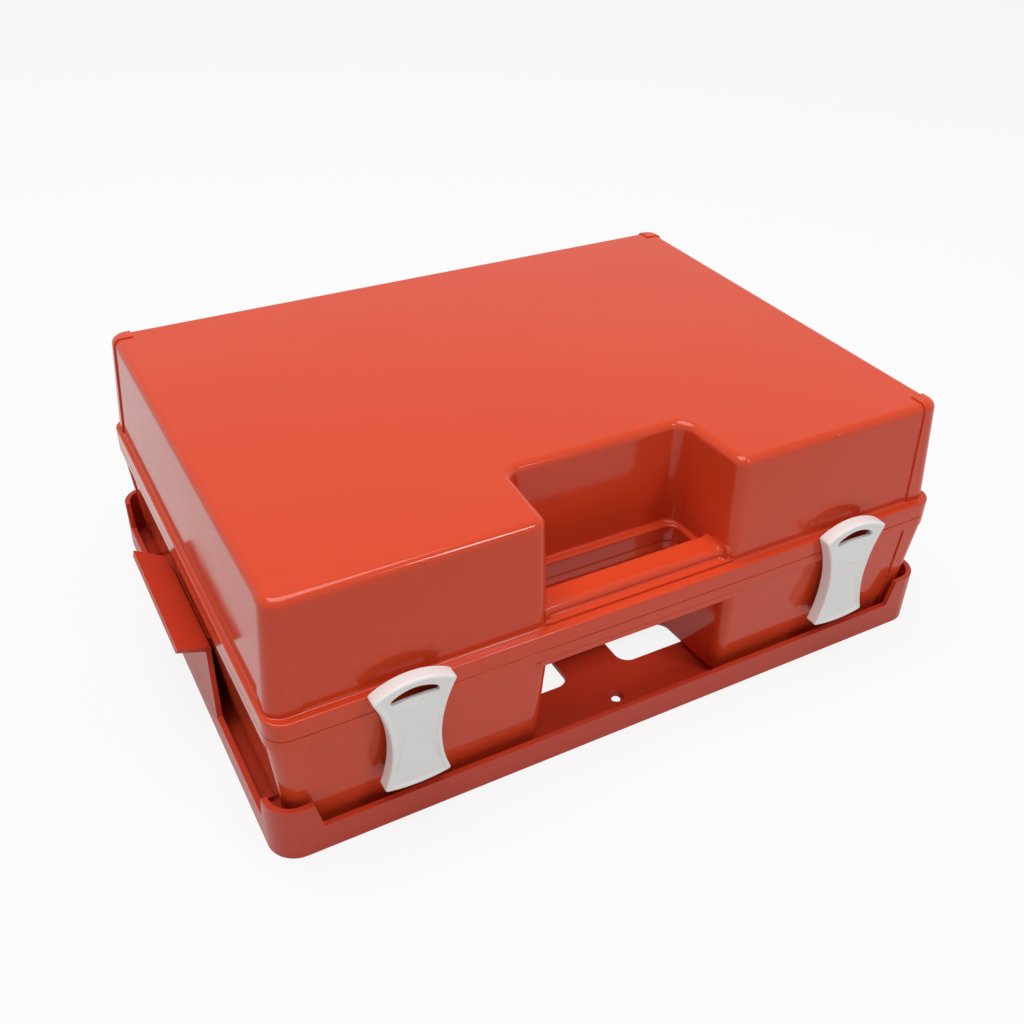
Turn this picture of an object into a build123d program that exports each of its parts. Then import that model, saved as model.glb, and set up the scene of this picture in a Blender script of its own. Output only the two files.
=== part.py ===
from build123d import *
import os

# A first aid case of two moulded shells that lies in its wall bracket.
# X runs along the long side, Y from the front (handle and latches) to the back (hinges), Z up.
# The origin is at the middle of the bracket's back face. Sizes are in millimetres.

# How far a cutting solid runs past the face that it cuts
overrun = 1.0

# The closing flange, which is the widest line of the case
case_length = 400.0
case_width = 298.0
flange_corner_r = 11.0
parting_z = 76.5
parting_gap = 0.3
lid_flange_height = 9.85
base_flange_height = 6.35
flange_edge_r = 1.2
band_edge_r = 0.6

# Shell walls
wall = 3.0
body_corner_r = 8.0
case_bottom_z = 4.0
case_top_z = 148.0
lid_ledge_x = 3.0
lid_ledge_y = 5.5
lid_taper_x = 4.5
lid_taper_y = 3.0
base_step = 1.75
base_taper_x = 5.75
base_taper_y = 4.75
lid_edge_r = 4.5
base_edge_r = 5.5
pad_height = 0.8
pad_size = 11.0

# Carrying handle, one bar in each shell, and the pocket around it
pocket_half_length = 51.5
pocket_flare = 3.0
pocket_taper = 1.6
recess_taper = 3.0
pocket_depth = 53.5
pocket_corner_r = 8.0
slot_depth = 22.0
slot_ledge = 4.5
slot_side_ledge = 1.5
slot_corner_r = 7.0
grip_setback = 10.0
grip_height = 6.5
grip_back_r = 4.0
grip_front_r = 2.9
grip_foot_r = 2.0
grip_sill = 1.5
grip_drop = 3.5
grip_wall = 3.0

# Seal in the base's flange
seal_width = 1.8
seal_height = 2.4
seal_depth = 2.15
seal_clearance = 0.1
seal_inset = 1.0

# Hinges on the back
hinge_x = 115.0
hinge_length = 62.0
knuckle_count = 5
knuckle_r = 3.8
knuckle_gap = 0.4
hinge_pin_r = 1.5
pin_chamfer = 0.3
pin_clearance = 0.05
hinge_setoff = 4.2
stop_width = 12.0
stop_clearance = 0.05

# Latches on the front
latch_x = 132.5
latch_reach = 8.0
latch_plate = 3.0
latch_top_half = 21.3
latch_waist_half = 13.5
latch_waist_z = 64.0
latch_foot_half = 17.5
latch_foot_z = 27.4
latch_foot_rise = 2.1
latch_edge_r = 1.2
latch_cap_rise = 6.7
latch_cap_height = 8.4
latch_hook_depth = 2.4
latch_hook_half = 12.0
latch_hook_height = 2.0
latch_corner_r = 3.2
latch_rim = 2.4
latch_rim_height = 0.8
latch_side_wall = 2.0
latch_side_gap = 0.8
latch_slot_half = 12.3
latch_slot_width = 6.0
latch_slot_end = 3.2
latch_slot_end_r = 1.2
latch_slot_drop = 4.9
latch_slot_bow = 4.0
latch_pivot_rise = 2.9
latch_pin_r = 1.25
latch_lug_r = 2.6
latch_ear = 5.0
latch_ear_gap = 0.4
latch_middle_lug = 7.2
latch_side_lug = 3.0
ear_gusset = 4.0
hook_clearance = 0.3

# Fittings inside the shells
divider_thickness = 2.0
divider_clearance = 0.2
divider_x = 66.0
divider_y = 28.0
divider_top_gap = 1.5
rail_width = 2.0
rail_depth = 3.0
cover_thickness = 2.0
cover_clearance = 0.6
cover_z = 79.1
catch_thickness = 1.8
catch_length = 17.0
catch_width = 9.0
catch_gap = 0.15
catch_x = 120.0
catch_from_wall = 9.0
catch_post_r = 4.5
catch_screw_r = 1.4
catch_head_r = 2.6
catch_head_height = 0.8
catch_head_room = 0.2
catch_recess_length = 3.12
catch_recess_width = 0.78
catch_screw_length = 10.0
rest_x = 90.0
rest_width = 16.0
rest_depth = 5.0
finger_hole_r = 9.0

# Wall bracket
bracket_length = 408.0
bracket_width = 302.0
bracket_corner_r = 15.0
bracket_wall = 3.0
plate_thickness = 3.0
rim_height = 16.0
post_height = 32.0
post_length_x = 21.0
post_length_y = 16.0
post_slope = 4.0
post_corner_r = 3.0
window_inner_x = 17.5
window_outer_x = 165.0
window_inner_y = 15.0
window_outer_y = 109.5
window_corner_r = 8.0
screw_x = 150.0
screw_y = 130.0
screw_hole_r = 2.5
screw_head_r = 4.8
rib_width = 3.0
rib_clearance = 0.5
rib_x = 172.0
rib_y = 112.0
rib_top_z = 6.0

# Spring clips on the bracket's short sides
clip_thickness = 3.0
clip_root_half = 57.0
clip_fold_half = 42.0
clip_tab_half = 47.4
clip_fold_z = 51.0
clip_lean = 3.0
clip_tab_reach = 17.5
clip_tab_rise = 8.0
clip_tab_taper = 1.0
clip_pivot_z = 12.0
clip_bead_r = 1.0
clip_gap = 0.3
clip_bend_r = 1.5
clip_shoulder = 4.0
clip_lip_half = 30.0
clip_lip_height = 2.6
clip_lip_edge = 0.6
clip_lip_overlap = 0.9
lug_height = 5.0
lug_reach = 1.5
lug_drop = 5.0
lug_lead_in = 1.2

# Levels and outlines that follow from the driving sizes
front_y = -case_width / 2
back_y = case_width / 2
lid_seat_z = parting_z + parting_gap / 2
base_seat_z = parting_z - parting_gap / 2
ledge_z = lid_seat_z + lid_flange_height
band_bottom_z = base_seat_z - base_flange_height
floor_z = case_bottom_z + wall
ceiling_z = case_top_z - wall
lid_foot_size = (case_length - 2 * lid_ledge_x, case_width - 2 * lid_ledge_y)
lid_top_size = (lid_foot_size[0] - 2 * lid_taper_x, lid_foot_size[1] - 2 * lid_taper_y)
base_top_size = (case_length - 2 * base_step, case_width - 2 * base_step)
base_foot_size = (base_top_size[0] - 2 * base_taper_x, base_top_size[1] - 2 * base_taper_y)
pocket_back_y = front_y + pocket_depth
slot_back_y = pocket_back_y - slot_ledge
slot_front_y = slot_back_y - slot_depth
slot_half = pocket_half_length - slot_side_ledge
grip_half = pocket_half_length + pocket_flare / 2 + wall / 2
hinge_y = back_y + hinge_setoff
latch_front_y = front_y - latch_reach
latch_back_y = latch_front_y + latch_plate
latch_face_y = latch_front_y + latch_rim_height
latch_pivot_y = latch_back_y + latch_lug_r + latch_ear_gap
latch_pivot_z = latch_foot_z + latch_pivot_rise
hook_z = ledge_z + hook_clearance
hook_back_y = front_y + latch_hook_depth
latch_rim_back_y = front_y - latch_side_gap
latch_top_z = ledge_z + latch_cap_height
latch_side_lug_x = latch_middle_lug / 2 + 2 * latch_ear_gap + latch_ear + latch_side_lug / 2
latch_pin_half = latch_side_lug_x + latch_side_lug / 2
grip_front_y = front_y + grip_setback
grip_top_z = ledge_z + grip_height
cover_top_z = cover_z + cover_thickness
lid_wall_y = wall - lid_foot_size[1] / 2
catch_y = lid_wall_y + catch_from_wall
catch_low_z = cover_z - catch_gap - catch_thickness
catch_arm = catch_length - catch_width
post_end_z = cover_z - catch_gap / 2
divider_top_z = base_seat_z - divider_top_gap
clip_pivot_x = bracket_length / 2 - bracket_wall / 2


def inset(size, amount):
    """A rounded rectangle's size with its outline moved inwards."""
    return (size[0] - 2 * amount, size[1] - 2 * amount)


def size_at(low_size, low_z, high_size, high_z, z):
    """The size of a straight taper at one height."""
    share = (z - low_z) / (high_z - low_z)
    return tuple(a + (b - a) * share for a, b in zip(low_size, high_size))


def base_size(z):
    """The base's outer size at a height."""
    return size_at(base_foot_size, case_bottom_z, base_top_size, band_bottom_z, z)


def lid_size(z):
    """The lid's outer size at a height."""
    return size_at(lid_foot_size, ledge_z, lid_top_size, case_top_z, z)


def tapered_block(low_size, low_z, high_size, high_z, radius):
    """A straight-sided solid between two rounded rectangles."""
    with BuildPart() as block:
        with BuildSketch(Plane.XY.offset(low_z)):
            RectangleRounded(*low_size, radius)
        with BuildSketch(Plane.XY.offset(high_z)):
            RectangleRounded(*high_size, radius)
        loft(ruled=True)
    return block.part


def pocket_plan(z, taper, grow):
    """The handle pocket's outline at one height, open past the front."""
    mouth_y = front_y - pocket_corner_r
    half_back = pocket_half_length + taper + grow
    deep_y = pocket_back_y + taper + grow
    half_front = half_back + pocket_flare * (deep_y - mouth_y) / pocket_depth
    with BuildSketch(Plane.XY.offset(z)) as plan:
        with BuildLine():
            Polyline(
                (-half_front, mouth_y),
                (-half_back, deep_y),
                (half_back, deep_y),
                (half_front, mouth_y),
                close=True,
            )
        make_face()
        fillet(plan.vertices().group_by(Axis.Y)[-1], radius=pocket_corner_r + grow)
    return plan.sketch


def pocket_block(low_z, low_taper, high_z, high_taper, grow=0.0):
    """The handle pocket as a solid, grown by a wall where asked."""
    with BuildPart() as block:
        add(pocket_plan(low_z, low_taper, grow))
        add(pocket_plan(high_z, high_taper, grow))
        loft(ruled=True)
    return block.part


def box_between(x, y, z):
    """A plain box from three (low, high) pairs."""
    with BuildPart() as block:
        with BuildSketch(Plane.XY.offset(z[0])):
            with Locations(((x[0] + x[1]) / 2, (y[0] + y[1]) / 2)):
                Rectangle(x[1] - x[0], y[1] - y[0])
        extrude(amount=z[1] - z[0])
    return block.part


def bar_along_x(x, y, z, radius):
    """A round bar from x[0] to x[1] at one place in Y and Z."""
    with BuildPart() as bar:
        with BuildSketch(Plane.YZ.offset(x[0])):
            with Locations((y, z)):
                Circle(radius)
        extrude(amount=x[1] - x[0])
    return bar.part


def corner_blocks(size, low_z, high_z):
    """Four square posts around the corners of a size, used to keep only a body's corners."""
    with BuildPart() as posts:
        with BuildSketch(Plane.XY.offset(low_z)):
            with GridLocations(size[0], size[1], 2, 2):
                Rectangle(2 * pad_size, 2 * pad_size)
        extrude(amount=high_z - low_z)
    return posts.part


def flange_block(low_z, height, radius, top):
    """A closing flange with its free outer edge rounded, on the top or on the bottom."""
    with BuildPart() as flange:
        with BuildSketch(Plane.XY.offset(low_z)):
            RectangleRounded(case_length, case_width, flange_corner_r)
        extrude(amount=height)
        fillet(flange.faces().sort_by(Axis.Z)[-1 if top else 0].edges(), radius=radius)
    return flange.part


def slot_block(low_z, high_z):
    """The finger slot behind the handle bar."""
    with BuildPart() as block:
        with BuildSketch(Plane.XY.offset(low_z)):
            with Locations((0, (slot_front_y + slot_back_y) / 2)):
                RectangleRounded(2 * slot_half, slot_depth, slot_corner_r)
        extrude(amount=high_z - low_z)
    return block.part


def knuckle_spans(centre_x):
    """The stretches of X that one hinge's knuckles take, from left to right."""
    pitch = hinge_length / knuckle_count
    start = centre_x - hinge_length / 2
    return [
        (start + i * pitch + knuckle_gap / 2, start + (i + 1) * pitch - knuckle_gap / 2)
        for i in range(knuckle_count)
    ]


def stop_spans():
    """The stretches of X that the lid's stops take, one beyond each hinge."""
    inner = hinge_x + hinge_length / 2 + knuckle_gap
    return [(-inner - stop_width, -inner), (inner, inner + stop_width)]


def knuckle(span, leaf_z):
    """One hinge knuckle with the leaf that joins it to its flange."""
    with BuildPart() as eye:
        add(bar_along_x(span, hinge_y, parting_z, knuckle_r))
        add(box_between(span, (back_y - wall, hinge_y), leaf_z))
    return eye.part


def shell_cavity(low_size, low_z, high_size, high_z, low_taper, high_taper):
    """The inside of a shell, which passes round the handle pocket at one wall's distance."""
    with BuildPart() as cavity:
        add(tapered_block(low_size, low_z, high_size, high_z, body_corner_r - wall))
        add(pocket_block(low_z - overrun, low_taper, high_z + overrun, high_taper, wall), mode=Mode.SUBTRACT)
    return cavity.part


def seal_block(low_z, height, grow):
    """A solid over the base's cavity at the parting line, grown by an amount."""
    with BuildPart() as block:
        with BuildSketch(Plane.XY.offset(low_z)):
            RectangleRounded(*inset(base_inner_high, -grow), body_corner_r - wall + grow)
            add(pocket_plan(low_z, 0.0, wall - grow), mode=Mode.SUBTRACT)
        extrude(amount=height)
    return block.part


def seal_ring(low_z, height, inner, outer):
    """A band that follows the cavity's edge, between two distances from it."""
    with BuildPart() as ring:
        add(seal_block(low_z, height, outer))
        add(seal_block(low_z - overrun, height + 2 * overrun, inner), mode=Mode.SUBTRACT)
    return ring.part


def divider_panel(x, low_z, high_z, size_of):
    """An upright panel across a shell, with its two end edges following the walls' taper."""
    low_half = size_of(low_z)[1] / 2 - wall - divider_clearance
    high_half = size_of(high_z)[1] / 2 - wall - divider_clearance
    with BuildPart() as panel:
        with BuildSketch(Plane.YZ.offset(x - divider_thickness / 2)):
            with BuildLine():
                Polyline(
                    (-low_half, low_z),
                    (low_half, low_z),
                    (high_half, high_z),
                    (-high_half, high_z),
                    close=True,
                )
            make_face()
        extrude(amount=divider_thickness)
    return panel.part


def divider_rails(cavity, core, low_z, high_z):
    """The rib pairs on a shell's front and back walls that hold the dividers."""
    offset_x = divider_thickness / 2 + divider_clearance + rail_width / 2
    with BuildPart() as rails:
        with BuildSketch(Plane.XY.offset(low_z)):
            for x in (-divider_x, divider_x):
                with Locations((x - offset_x, 0), (x + offset_x, 0)):
                    Rectangle(rail_width, case_width)
        extrude(amount=high_z - low_z)
        add(cavity, mode=Mode.INTERSECT)
        add(core, mode=Mode.SUBTRACT)
    return rails.part


# The case's two cavities at the parting line and at their ends
base_inner_low = inset(base_size(floor_z), wall)
base_inner_high = inset(base_size(base_seat_z + overrun), wall)
base_cavity = shell_cavity(
    base_inner_low, floor_z, base_inner_high, base_seat_z + overrun, recess_taper, 0.0
)
base_core = tapered_block(
    inset(base_inner_low, rail_depth),
    floor_z,
    inset(base_inner_high, rail_depth),
    base_seat_z + overrun,
    body_corner_r - wall,
)
lid_inner_low = inset(lid_size(lid_seat_z - overrun), wall)
lid_inner_high = inset(lid_size(ceiling_z), wall)
lid_cavity = shell_cavity(
    lid_inner_low, lid_seat_z - overrun, lid_inner_high, ceiling_z, 0.0, pocket_taper
)
lid_core = tapered_block(
    inset(lid_inner_low, rail_depth),
    lid_seat_z - overrun,
    inset(lid_inner_high, rail_depth),
    ceiling_z,
    body_corner_r - wall,
)


# Base shell: body, corner pads that it stands on, flange, handle bar, ears, knuckles and lugs
with BuildPart() as base_body:
    add(tapered_block(base_foot_size, case_bottom_z, base_top_size, band_bottom_z, body_corner_r))
    add(pocket_block(case_bottom_z - overrun, recess_taper, base_seat_z, 0.0), mode=Mode.SUBTRACT)
    fillet(base_body.faces().sort_by(Axis.Z)[0].edges(), radius=base_edge_r)

with BuildPart() as base_pads:
    add(
        tapered_block(
            inset(base_foot_size, -pad_height),
            plate_thickness,
            inset(base_top_size, -pad_height),
            band_bottom_z,
            body_corner_r + pad_height,
        )
    )
    fillet(base_pads.faces().sort_by(Axis.Z)[0].edges(), radius=base_edge_r)
    add(corner_blocks(base_top_size, 0, band_bottom_z), mode=Mode.INTERSECT)

with BuildPart() as latch_ears:
    wall_y = -base_size(latch_pivot_z)[1] / 2
    ear_centre = latch_middle_lug / 2 + latch_ear_gap + latch_ear / 2
    for centre in (-latch_x, latch_x):
        for side in (-1, 1):
            start = centre + side * ear_centre - latch_ear / 2
            with BuildSketch(Plane.YZ.offset(start)):
                with Locations((latch_pivot_y, latch_pivot_z)):
                    Circle(latch_lug_r)
                with BuildLine():
                    Polyline(
                        (latch_pivot_y, latch_pivot_z - latch_lug_r / 2),
                        (wall_y + wall / 2, latch_pivot_z - latch_lug_r / 2),
                        (wall_y + wall / 2, latch_pivot_z + latch_lug_r + ear_gusset),
                        (latch_pivot_y, latch_pivot_z + latch_lug_r),
                        close=True,
                    )
                make_face()
            extrude(amount=latch_ear)

lug_top_z = clip_fold_z - lug_drop
lug_low_z = lug_top_z - lug_height
lug_tip_x = base_size(lug_top_z)[0] / 2 + lug_reach


def clip_lug(side):
    """The lug on one short side that a spring clip's lip holds, with a lead-in under its edge."""
    wall_x = base_size(lug_low_z)[0] / 2 - wall / 2
    with BuildPart() as lug:
        with BuildSketch(Plane.XZ.offset(-clip_lip_half)):
            with BuildLine():
                Polyline(
                    (side * wall_x, lug_low_z),
                    (side * (lug_tip_x - lug_lead_in), lug_low_z),
                    (side * lug_tip_x, lug_low_z + lug_lead_in),
                    (side * lug_tip_x, lug_top_z),
                    (side * wall_x, lug_top_z),
                    close=True,
                )
            make_face()
        extrude(amount=2 * clip_lip_half)
    return lug.part


with BuildPart() as base_shell:
    add(base_body.part)
    add(base_pads.part)
    add(flange_block(band_bottom_z, base_flange_height, band_edge_r, top=False))
    add(
        box_between(
            (-grip_half, grip_half),
            (front_y, slot_front_y),
            (band_bottom_z - grip_drop, band_bottom_z + band_edge_r),
        )
    )
    add(slot_block(case_bottom_z, base_seat_z + overrun), mode=Mode.SUBTRACT)
    add(base_cavity, mode=Mode.SUBTRACT)
    add(
        box_between(
            (-slot_half, slot_half),
            (front_y + grip_wall, slot_front_y - grip_wall),
            (band_bottom_z - grip_drop + grip_wall, base_seat_z + overrun),
        ),
        mode=Mode.SUBTRACT,
    )
    add(divider_rails(base_cavity, base_core, floor_z, base_seat_z - divider_top_gap))
    add(latch_ears.part)
    for centre in (-hinge_x, hinge_x):
        for span in knuckle_spans(centre)[0::2]:
            add(knuckle(span, (parting_z - knuckle_r, base_seat_z)))
    for span in stop_spans():
        block_top = parting_z - knuckle_r - stop_clearance
        add(box_between(span, (back_y - wall, hinge_y + knuckle_r), (band_bottom_z, block_top)))
    for side in (-1, 1):
        add(clip_lug(side))
    for centre in (-hinge_x, hinge_x):
        span = (centre - hinge_length / 2, centre + hinge_length / 2)
        add(bar_along_x(span, hinge_y, parting_z, hinge_pin_r), mode=Mode.SUBTRACT)
    for centre in (-latch_x, latch_x):
        span = (centre - latch_top_half, centre + latch_top_half)
        add(bar_along_x(span, latch_pivot_y, latch_pivot_z, latch_pin_r), mode=Mode.SUBTRACT)
    add(
        seal_ring(
            base_seat_z - seal_depth,
            seal_depth + overrun,
            seal_inset,
            seal_inset + seal_width + 2 * seal_clearance,
        ),
        mode=Mode.SUBTRACT,
    )
base_shell.part.label = "base_shell"


# Lid shell: body, corner pads, flange, handle bar, posts, rests, knuckles and stops
with BuildPart() as lid_body:
    add(tapered_block(lid_foot_size, ledge_z, lid_top_size, case_top_z, body_corner_r))
    add(pocket_block(ledge_z - overrun, 0.0, case_top_z + overrun, pocket_taper), mode=Mode.SUBTRACT)
    fillet(lid_body.faces().sort_by(Axis.Z)[-1].edges(), radius=lid_edge_r)

with BuildPart() as lid_pads:
    add(
        tapered_block(
            inset(lid_foot_size, -pad_height),
            ledge_z,
            inset(lid_top_size, -pad_height),
            case_top_z + pad_height,
            body_corner_r + pad_height,
        )
    )
    fillet(lid_pads.faces().sort_by(Axis.Z)[-1].edges(), radius=lid_edge_r)
    add(corner_blocks(lid_top_size, ledge_z, case_top_z + 2 * pad_height), mode=Mode.INTERSECT)

with BuildPart() as lid_grip:
    sill_front_y = -lid_foot_size[1] / 2
    sill_z = ledge_z + grip_sill
    with BuildSketch(Plane.YZ.offset(-grip_half)) as grip_section:
        with BuildLine():
            Polyline(
                (sill_front_y, lid_seat_z),
                (slot_front_y, lid_seat_z),
                (slot_front_y, grip_top_z),
                (grip_front_y, grip_top_z),
                (grip_front_y, sill_z),
                (sill_front_y, sill_z),
                close=True,
            )
        make_face()
        fillet(grip_section.vertices().group_by(Axis.Y)[-1].sort_by(Axis.X)[-1], radius=grip_back_r)
        fillet(grip_section.vertices().group_by(Axis.Y)[-1].sort_by(Axis.X)[0], radius=grip_front_r)
        fillet(grip_section.vertices().group_by(Axis.Y)[1].sort_by(Axis.X)[-1], radius=grip_foot_r)
    extrude(amount=2 * grip_half)

with BuildPart() as lid_shell:
    add(lid_body.part)
    add(lid_pads.part)
    add(flange_block(lid_seat_z, lid_flange_height, flange_edge_r, top=True))
    add(slot_block(lid_seat_z - overrun, case_top_z), mode=Mode.SUBTRACT)
    add(lid_grip.part)
    add(lid_cavity, mode=Mode.SUBTRACT)
    add(
        box_between(
            (-slot_half, slot_half),
            (front_y + grip_wall, slot_front_y - grip_wall),
            (lid_seat_z - overrun, ledge_z - grip_wall),
        ),
        mode=Mode.SUBTRACT,
    )
    add(
        box_between(
            (-slot_half, slot_half),
            (grip_front_y + grip_wall, slot_front_y - grip_wall),
            (lid_seat_z - overrun, grip_top_z - grip_wall),
        ),
        mode=Mode.SUBTRACT,
    )
    add(divider_rails(lid_cavity, lid_core, cover_top_z, ceiling_z))
    with BuildSketch(Plane.XY.offset(post_end_z)):
        with Locations((-catch_x, catch_y), (catch_x, catch_y)):
            Circle(catch_post_r)
    extrude(amount=case_top_z - wall / 2 - post_end_z)
    for x in (-catch_x, catch_x):
        add(
            box_between(
                (x - catch_screw_r, x + catch_screw_r),
                (lid_wall_y, catch_y),
                (cover_top_z + catch_length, ceiling_z + wall / 2),
            )
        )
    for x in (-rest_x, rest_x):
        add(
            box_between(
                (x - rest_width / 2, x + rest_width / 2),
                (-lid_wall_y - rest_depth, -lid_wall_y + wall / 2),
                (lid_seat_z, cover_z),
            )
        )
    with BuildSketch(Plane.XY.offset(post_end_z)):
        with Locations((-catch_x, catch_y), (catch_x, catch_y)):
            Circle(catch_screw_r)
    extrude(amount=catch_screw_length, mode=Mode.SUBTRACT)
    for centre in (-hinge_x, hinge_x):
        for span in knuckle_spans(centre)[1::2]:
            add(knuckle(span, (lid_seat_z, parting_z + knuckle_r)))
    for span in stop_spans():
        reach_y = (back_y - wall, hinge_y + knuckle_r)
        add(box_between(span, reach_y, (parting_z + parting_gap, parting_z + knuckle_r)))
    for centre in (-hinge_x, hinge_x):
        span = (centre - hinge_length / 2, centre + hinge_length / 2)
        bore = bar_along_x(span, hinge_y, parting_z, hinge_pin_r + pin_clearance)
        add(bore, mode=Mode.SUBTRACT)
lid_shell.part.label = "lid_shell"


# Seal in the base's groove, which the lid's flange closes on
with BuildPart() as lid_seal:
    add(
        seal_ring(
            base_seat_z - seal_depth,
            seal_height,
            seal_inset + seal_clearance,
            seal_inset + seal_clearance + seal_width,
        )
    )
lid_seal.part.label = "lid_seal"


def hinge_pin(side):
    """The plain pin of one back hinge."""
    with BuildPart() as pin:
        span = (side * hinge_x - hinge_length / 2, side * hinge_x + hinge_length / 2)
        add(bar_along_x(span, hinge_y, parting_z, hinge_pin_r))
        chamfer(pin.edges().filter_by(GeomType.CIRCLE), length=pin_chamfer)
    return pin.part


with BuildPart() as hinge_pin_left:
    add(hinge_pin(-1))
hinge_pin_left.part.label = "hinge_pin_left"

with BuildPart() as hinge_pin_right:
    add(hinge_pin(1))
hinge_pin_right.part.label = "hinge_pin_right"


def latch_pin(side):
    """The plain pin that one latch turns on."""
    with BuildPart() as pin:
        span = (side * latch_x - latch_pin_half, side * latch_x + latch_pin_half)
        add(bar_along_x(span, latch_pivot_y, latch_pivot_z, latch_pin_r))
        chamfer(pin.edges().filter_by(GeomType.CIRCLE), length=pin_chamfer)
    return pin.part


with BuildPart() as latch_pin_left:
    add(latch_pin(-1))
latch_pin_left.part.label = "latch_pin_left"

with BuildPart() as latch_pin_right:
    add(latch_pin(1))
latch_pin_right.part.label = "latch_pin_right"


def latch_block(near_y, far_y, inward):
    """A solid with a latch's waisted outline moved inwards by an amount, between two depths."""
    top_z = latch_top_z - inward
    corner_z = top_z - latch_cap_rise
    foot_z = latch_foot_z + latch_foot_rise + inward
    top_x = latch_top_half - inward
    foot_x = latch_foot_half - inward
    waist_x = latch_waist_half - inward
    with BuildPart() as block:
        with BuildSketch(Plane.XZ.offset(-near_y)):
            with BuildLine():
                ThreePointArc((-top_x, corner_z), (0, top_z), (top_x, corner_z))
                ThreePointArc((top_x, corner_z), (waist_x, latch_waist_z), (foot_x, foot_z))
                ThreePointArc((foot_x, foot_z), (0, foot_z - latch_foot_rise), (-foot_x, foot_z))
                ThreePointArc((-foot_x, foot_z), (-waist_x, latch_waist_z), (-top_x, corner_z))
            make_face()
        extrude(amount=near_y - far_y)
        fillet(block.edges().filter_by(Axis.Y), radius=latch_corner_r - inward)
    return block.part


def latch_lug(x, width):
    """One of a latch's lugs on its pin."""
    with BuildPart() as lug:
        span = (x - width / 2, x + width / 2)
        add(bar_along_x(span, latch_pivot_y, latch_pivot_z, latch_lug_r))
        height = (latch_pivot_z - latch_pin_r, latch_pivot_z + latch_lug_r)
        add(box_between(span, (latch_back_y - latch_plate / 2, latch_pivot_y), height))
    return lug.part


# The space behind a latch's plate, and the gap in its foot that the base's ears turn through
with BuildPart() as latch_hollow:
    add(latch_block(latch_back_y, hook_back_y, latch_side_wall))
    foot_gap_half = latch_pin_half + latch_side_wall / 2
    add(
        box_between(
            (-foot_gap_half, foot_gap_half),
            (latch_back_y, hook_back_y),
            (0, latch_pivot_z + latch_lug_r + latch_side_gap),
        )
    )

# The hook that a latch holds the lid's flange with, hung from its cap
with BuildPart() as latch_hook:
    hook_reach = (-latch_hook_half, latch_hook_half)
    web_y = (latch_rim_back_y - latch_side_wall, latch_rim_back_y)
    add(latch_block(web_y[0], web_y[1], latch_side_wall / 2))
    add(box_between(hook_reach, web_y, (hook_z, latch_top_z)), mode=Mode.INTERSECT)
    add(box_between(hook_reach, (web_y[0], hook_back_y), (hook_z, hook_z + latch_hook_height)))

# The bowed slot near the top of a latch's plate
with BuildPart() as latch_slot:
    with BuildSketch(Plane.XZ.offset(-(latch_front_y - overrun))) as slot_outline:
        slot_top_z = latch_top_z - latch_slot_drop
        slot_low_z = slot_top_z - latch_slot_width
        upper_end_z = slot_top_z - latch_slot_bow
        lower_end_z = upper_end_z - latch_slot_end
        with BuildLine():
            ThreePointArc((-latch_slot_half, upper_end_z), (0, slot_top_z), (latch_slot_half, upper_end_z))
            Line((latch_slot_half, upper_end_z), (latch_slot_half, lower_end_z))
            ThreePointArc((latch_slot_half, lower_end_z), (0, slot_low_z), (-latch_slot_half, lower_end_z))
            Line((-latch_slot_half, lower_end_z), (-latch_slot_half, upper_end_z))
        make_face()
        fillet(slot_outline.vertices(), radius=latch_slot_end_r)
    extrude(amount=-(latch_plate + 2 * overrun))

# One latch about x = 0: waisted plate with a wall round its back, hook, lugs, sunk face and slot
with BuildPart() as latch_model:
    add(latch_block(latch_front_y, latch_rim_back_y, 0.0))
    fillet(latch_model.faces().sort_by(Axis.Y)[0].edges(), radius=latch_edge_r)
    add(latch_hollow.part, mode=Mode.SUBTRACT)
    add(latch_block(latch_front_y - overrun, latch_face_y, latch_rim), mode=Mode.SUBTRACT)
    add(latch_slot.part, mode=Mode.SUBTRACT)
    add(latch_hook.part)
    add(latch_lug(0, latch_middle_lug))
    for side in (-1, 1):
        add(latch_lug(side * latch_side_lug_x, latch_side_lug))
    bore = bar_along_x(
        (-latch_top_half, latch_top_half),
        latch_pivot_y,
        latch_pivot_z,
        latch_pin_r + pin_clearance,
    )
    add(bore, mode=Mode.SUBTRACT)

with BuildPart() as latch_left:
    add(latch_model.part.moved(Location((-latch_x, 0, 0))))
latch_left.part.label = "latch_left"

with BuildPart() as latch_right:
    add(latch_model.part.moved(Location((latch_x, 0, 0))))
latch_right.part.label = "latch_right"


def base_side_divider(side):
    """A divider across the base, with the rib pair that holds the middle divider."""
    with BuildPart() as divider:
        add(divider_panel(side * divider_x, floor_z, divider_top_z, base_size))
        rail_x = side * (divider_x - divider_thickness / 2 - rail_depth / 2)
        for rail_side in (-1, 1):
            rail_y = divider_y + rail_side * (divider_thickness / 2 + divider_clearance + rail_width / 2)
            add(
                box_between(
                    (rail_x - rail_depth / 2, rail_x + rail_depth / 2),
                    (rail_y - rail_width / 2, rail_y + rail_width / 2),
                    (floor_z, divider_top_z),
                )
            )
    return divider.part


with BuildPart() as base_divider_left:
    add(base_side_divider(-1))
base_divider_left.part.label = "base_divider_left"

with BuildPart() as base_divider_right:
    add(base_side_divider(1))
base_divider_right.part.label = "base_divider_right"

with BuildPart() as base_divider_middle:
    reach_x = divider_x - divider_thickness / 2 - divider_clearance
    add(
        box_between(
            (-reach_x, reach_x),
            (divider_y - divider_thickness / 2, divider_y + divider_thickness / 2),
            (floor_z, divider_top_z),
        )
    )
base_divider_middle.part.label = "base_divider_middle"

with BuildPart() as lid_divider_left:
    add(divider_panel(-divider_x, cover_top_z, ceiling_z - divider_clearance, lid_size))
lid_divider_left.part.label = "lid_divider_left"

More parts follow.
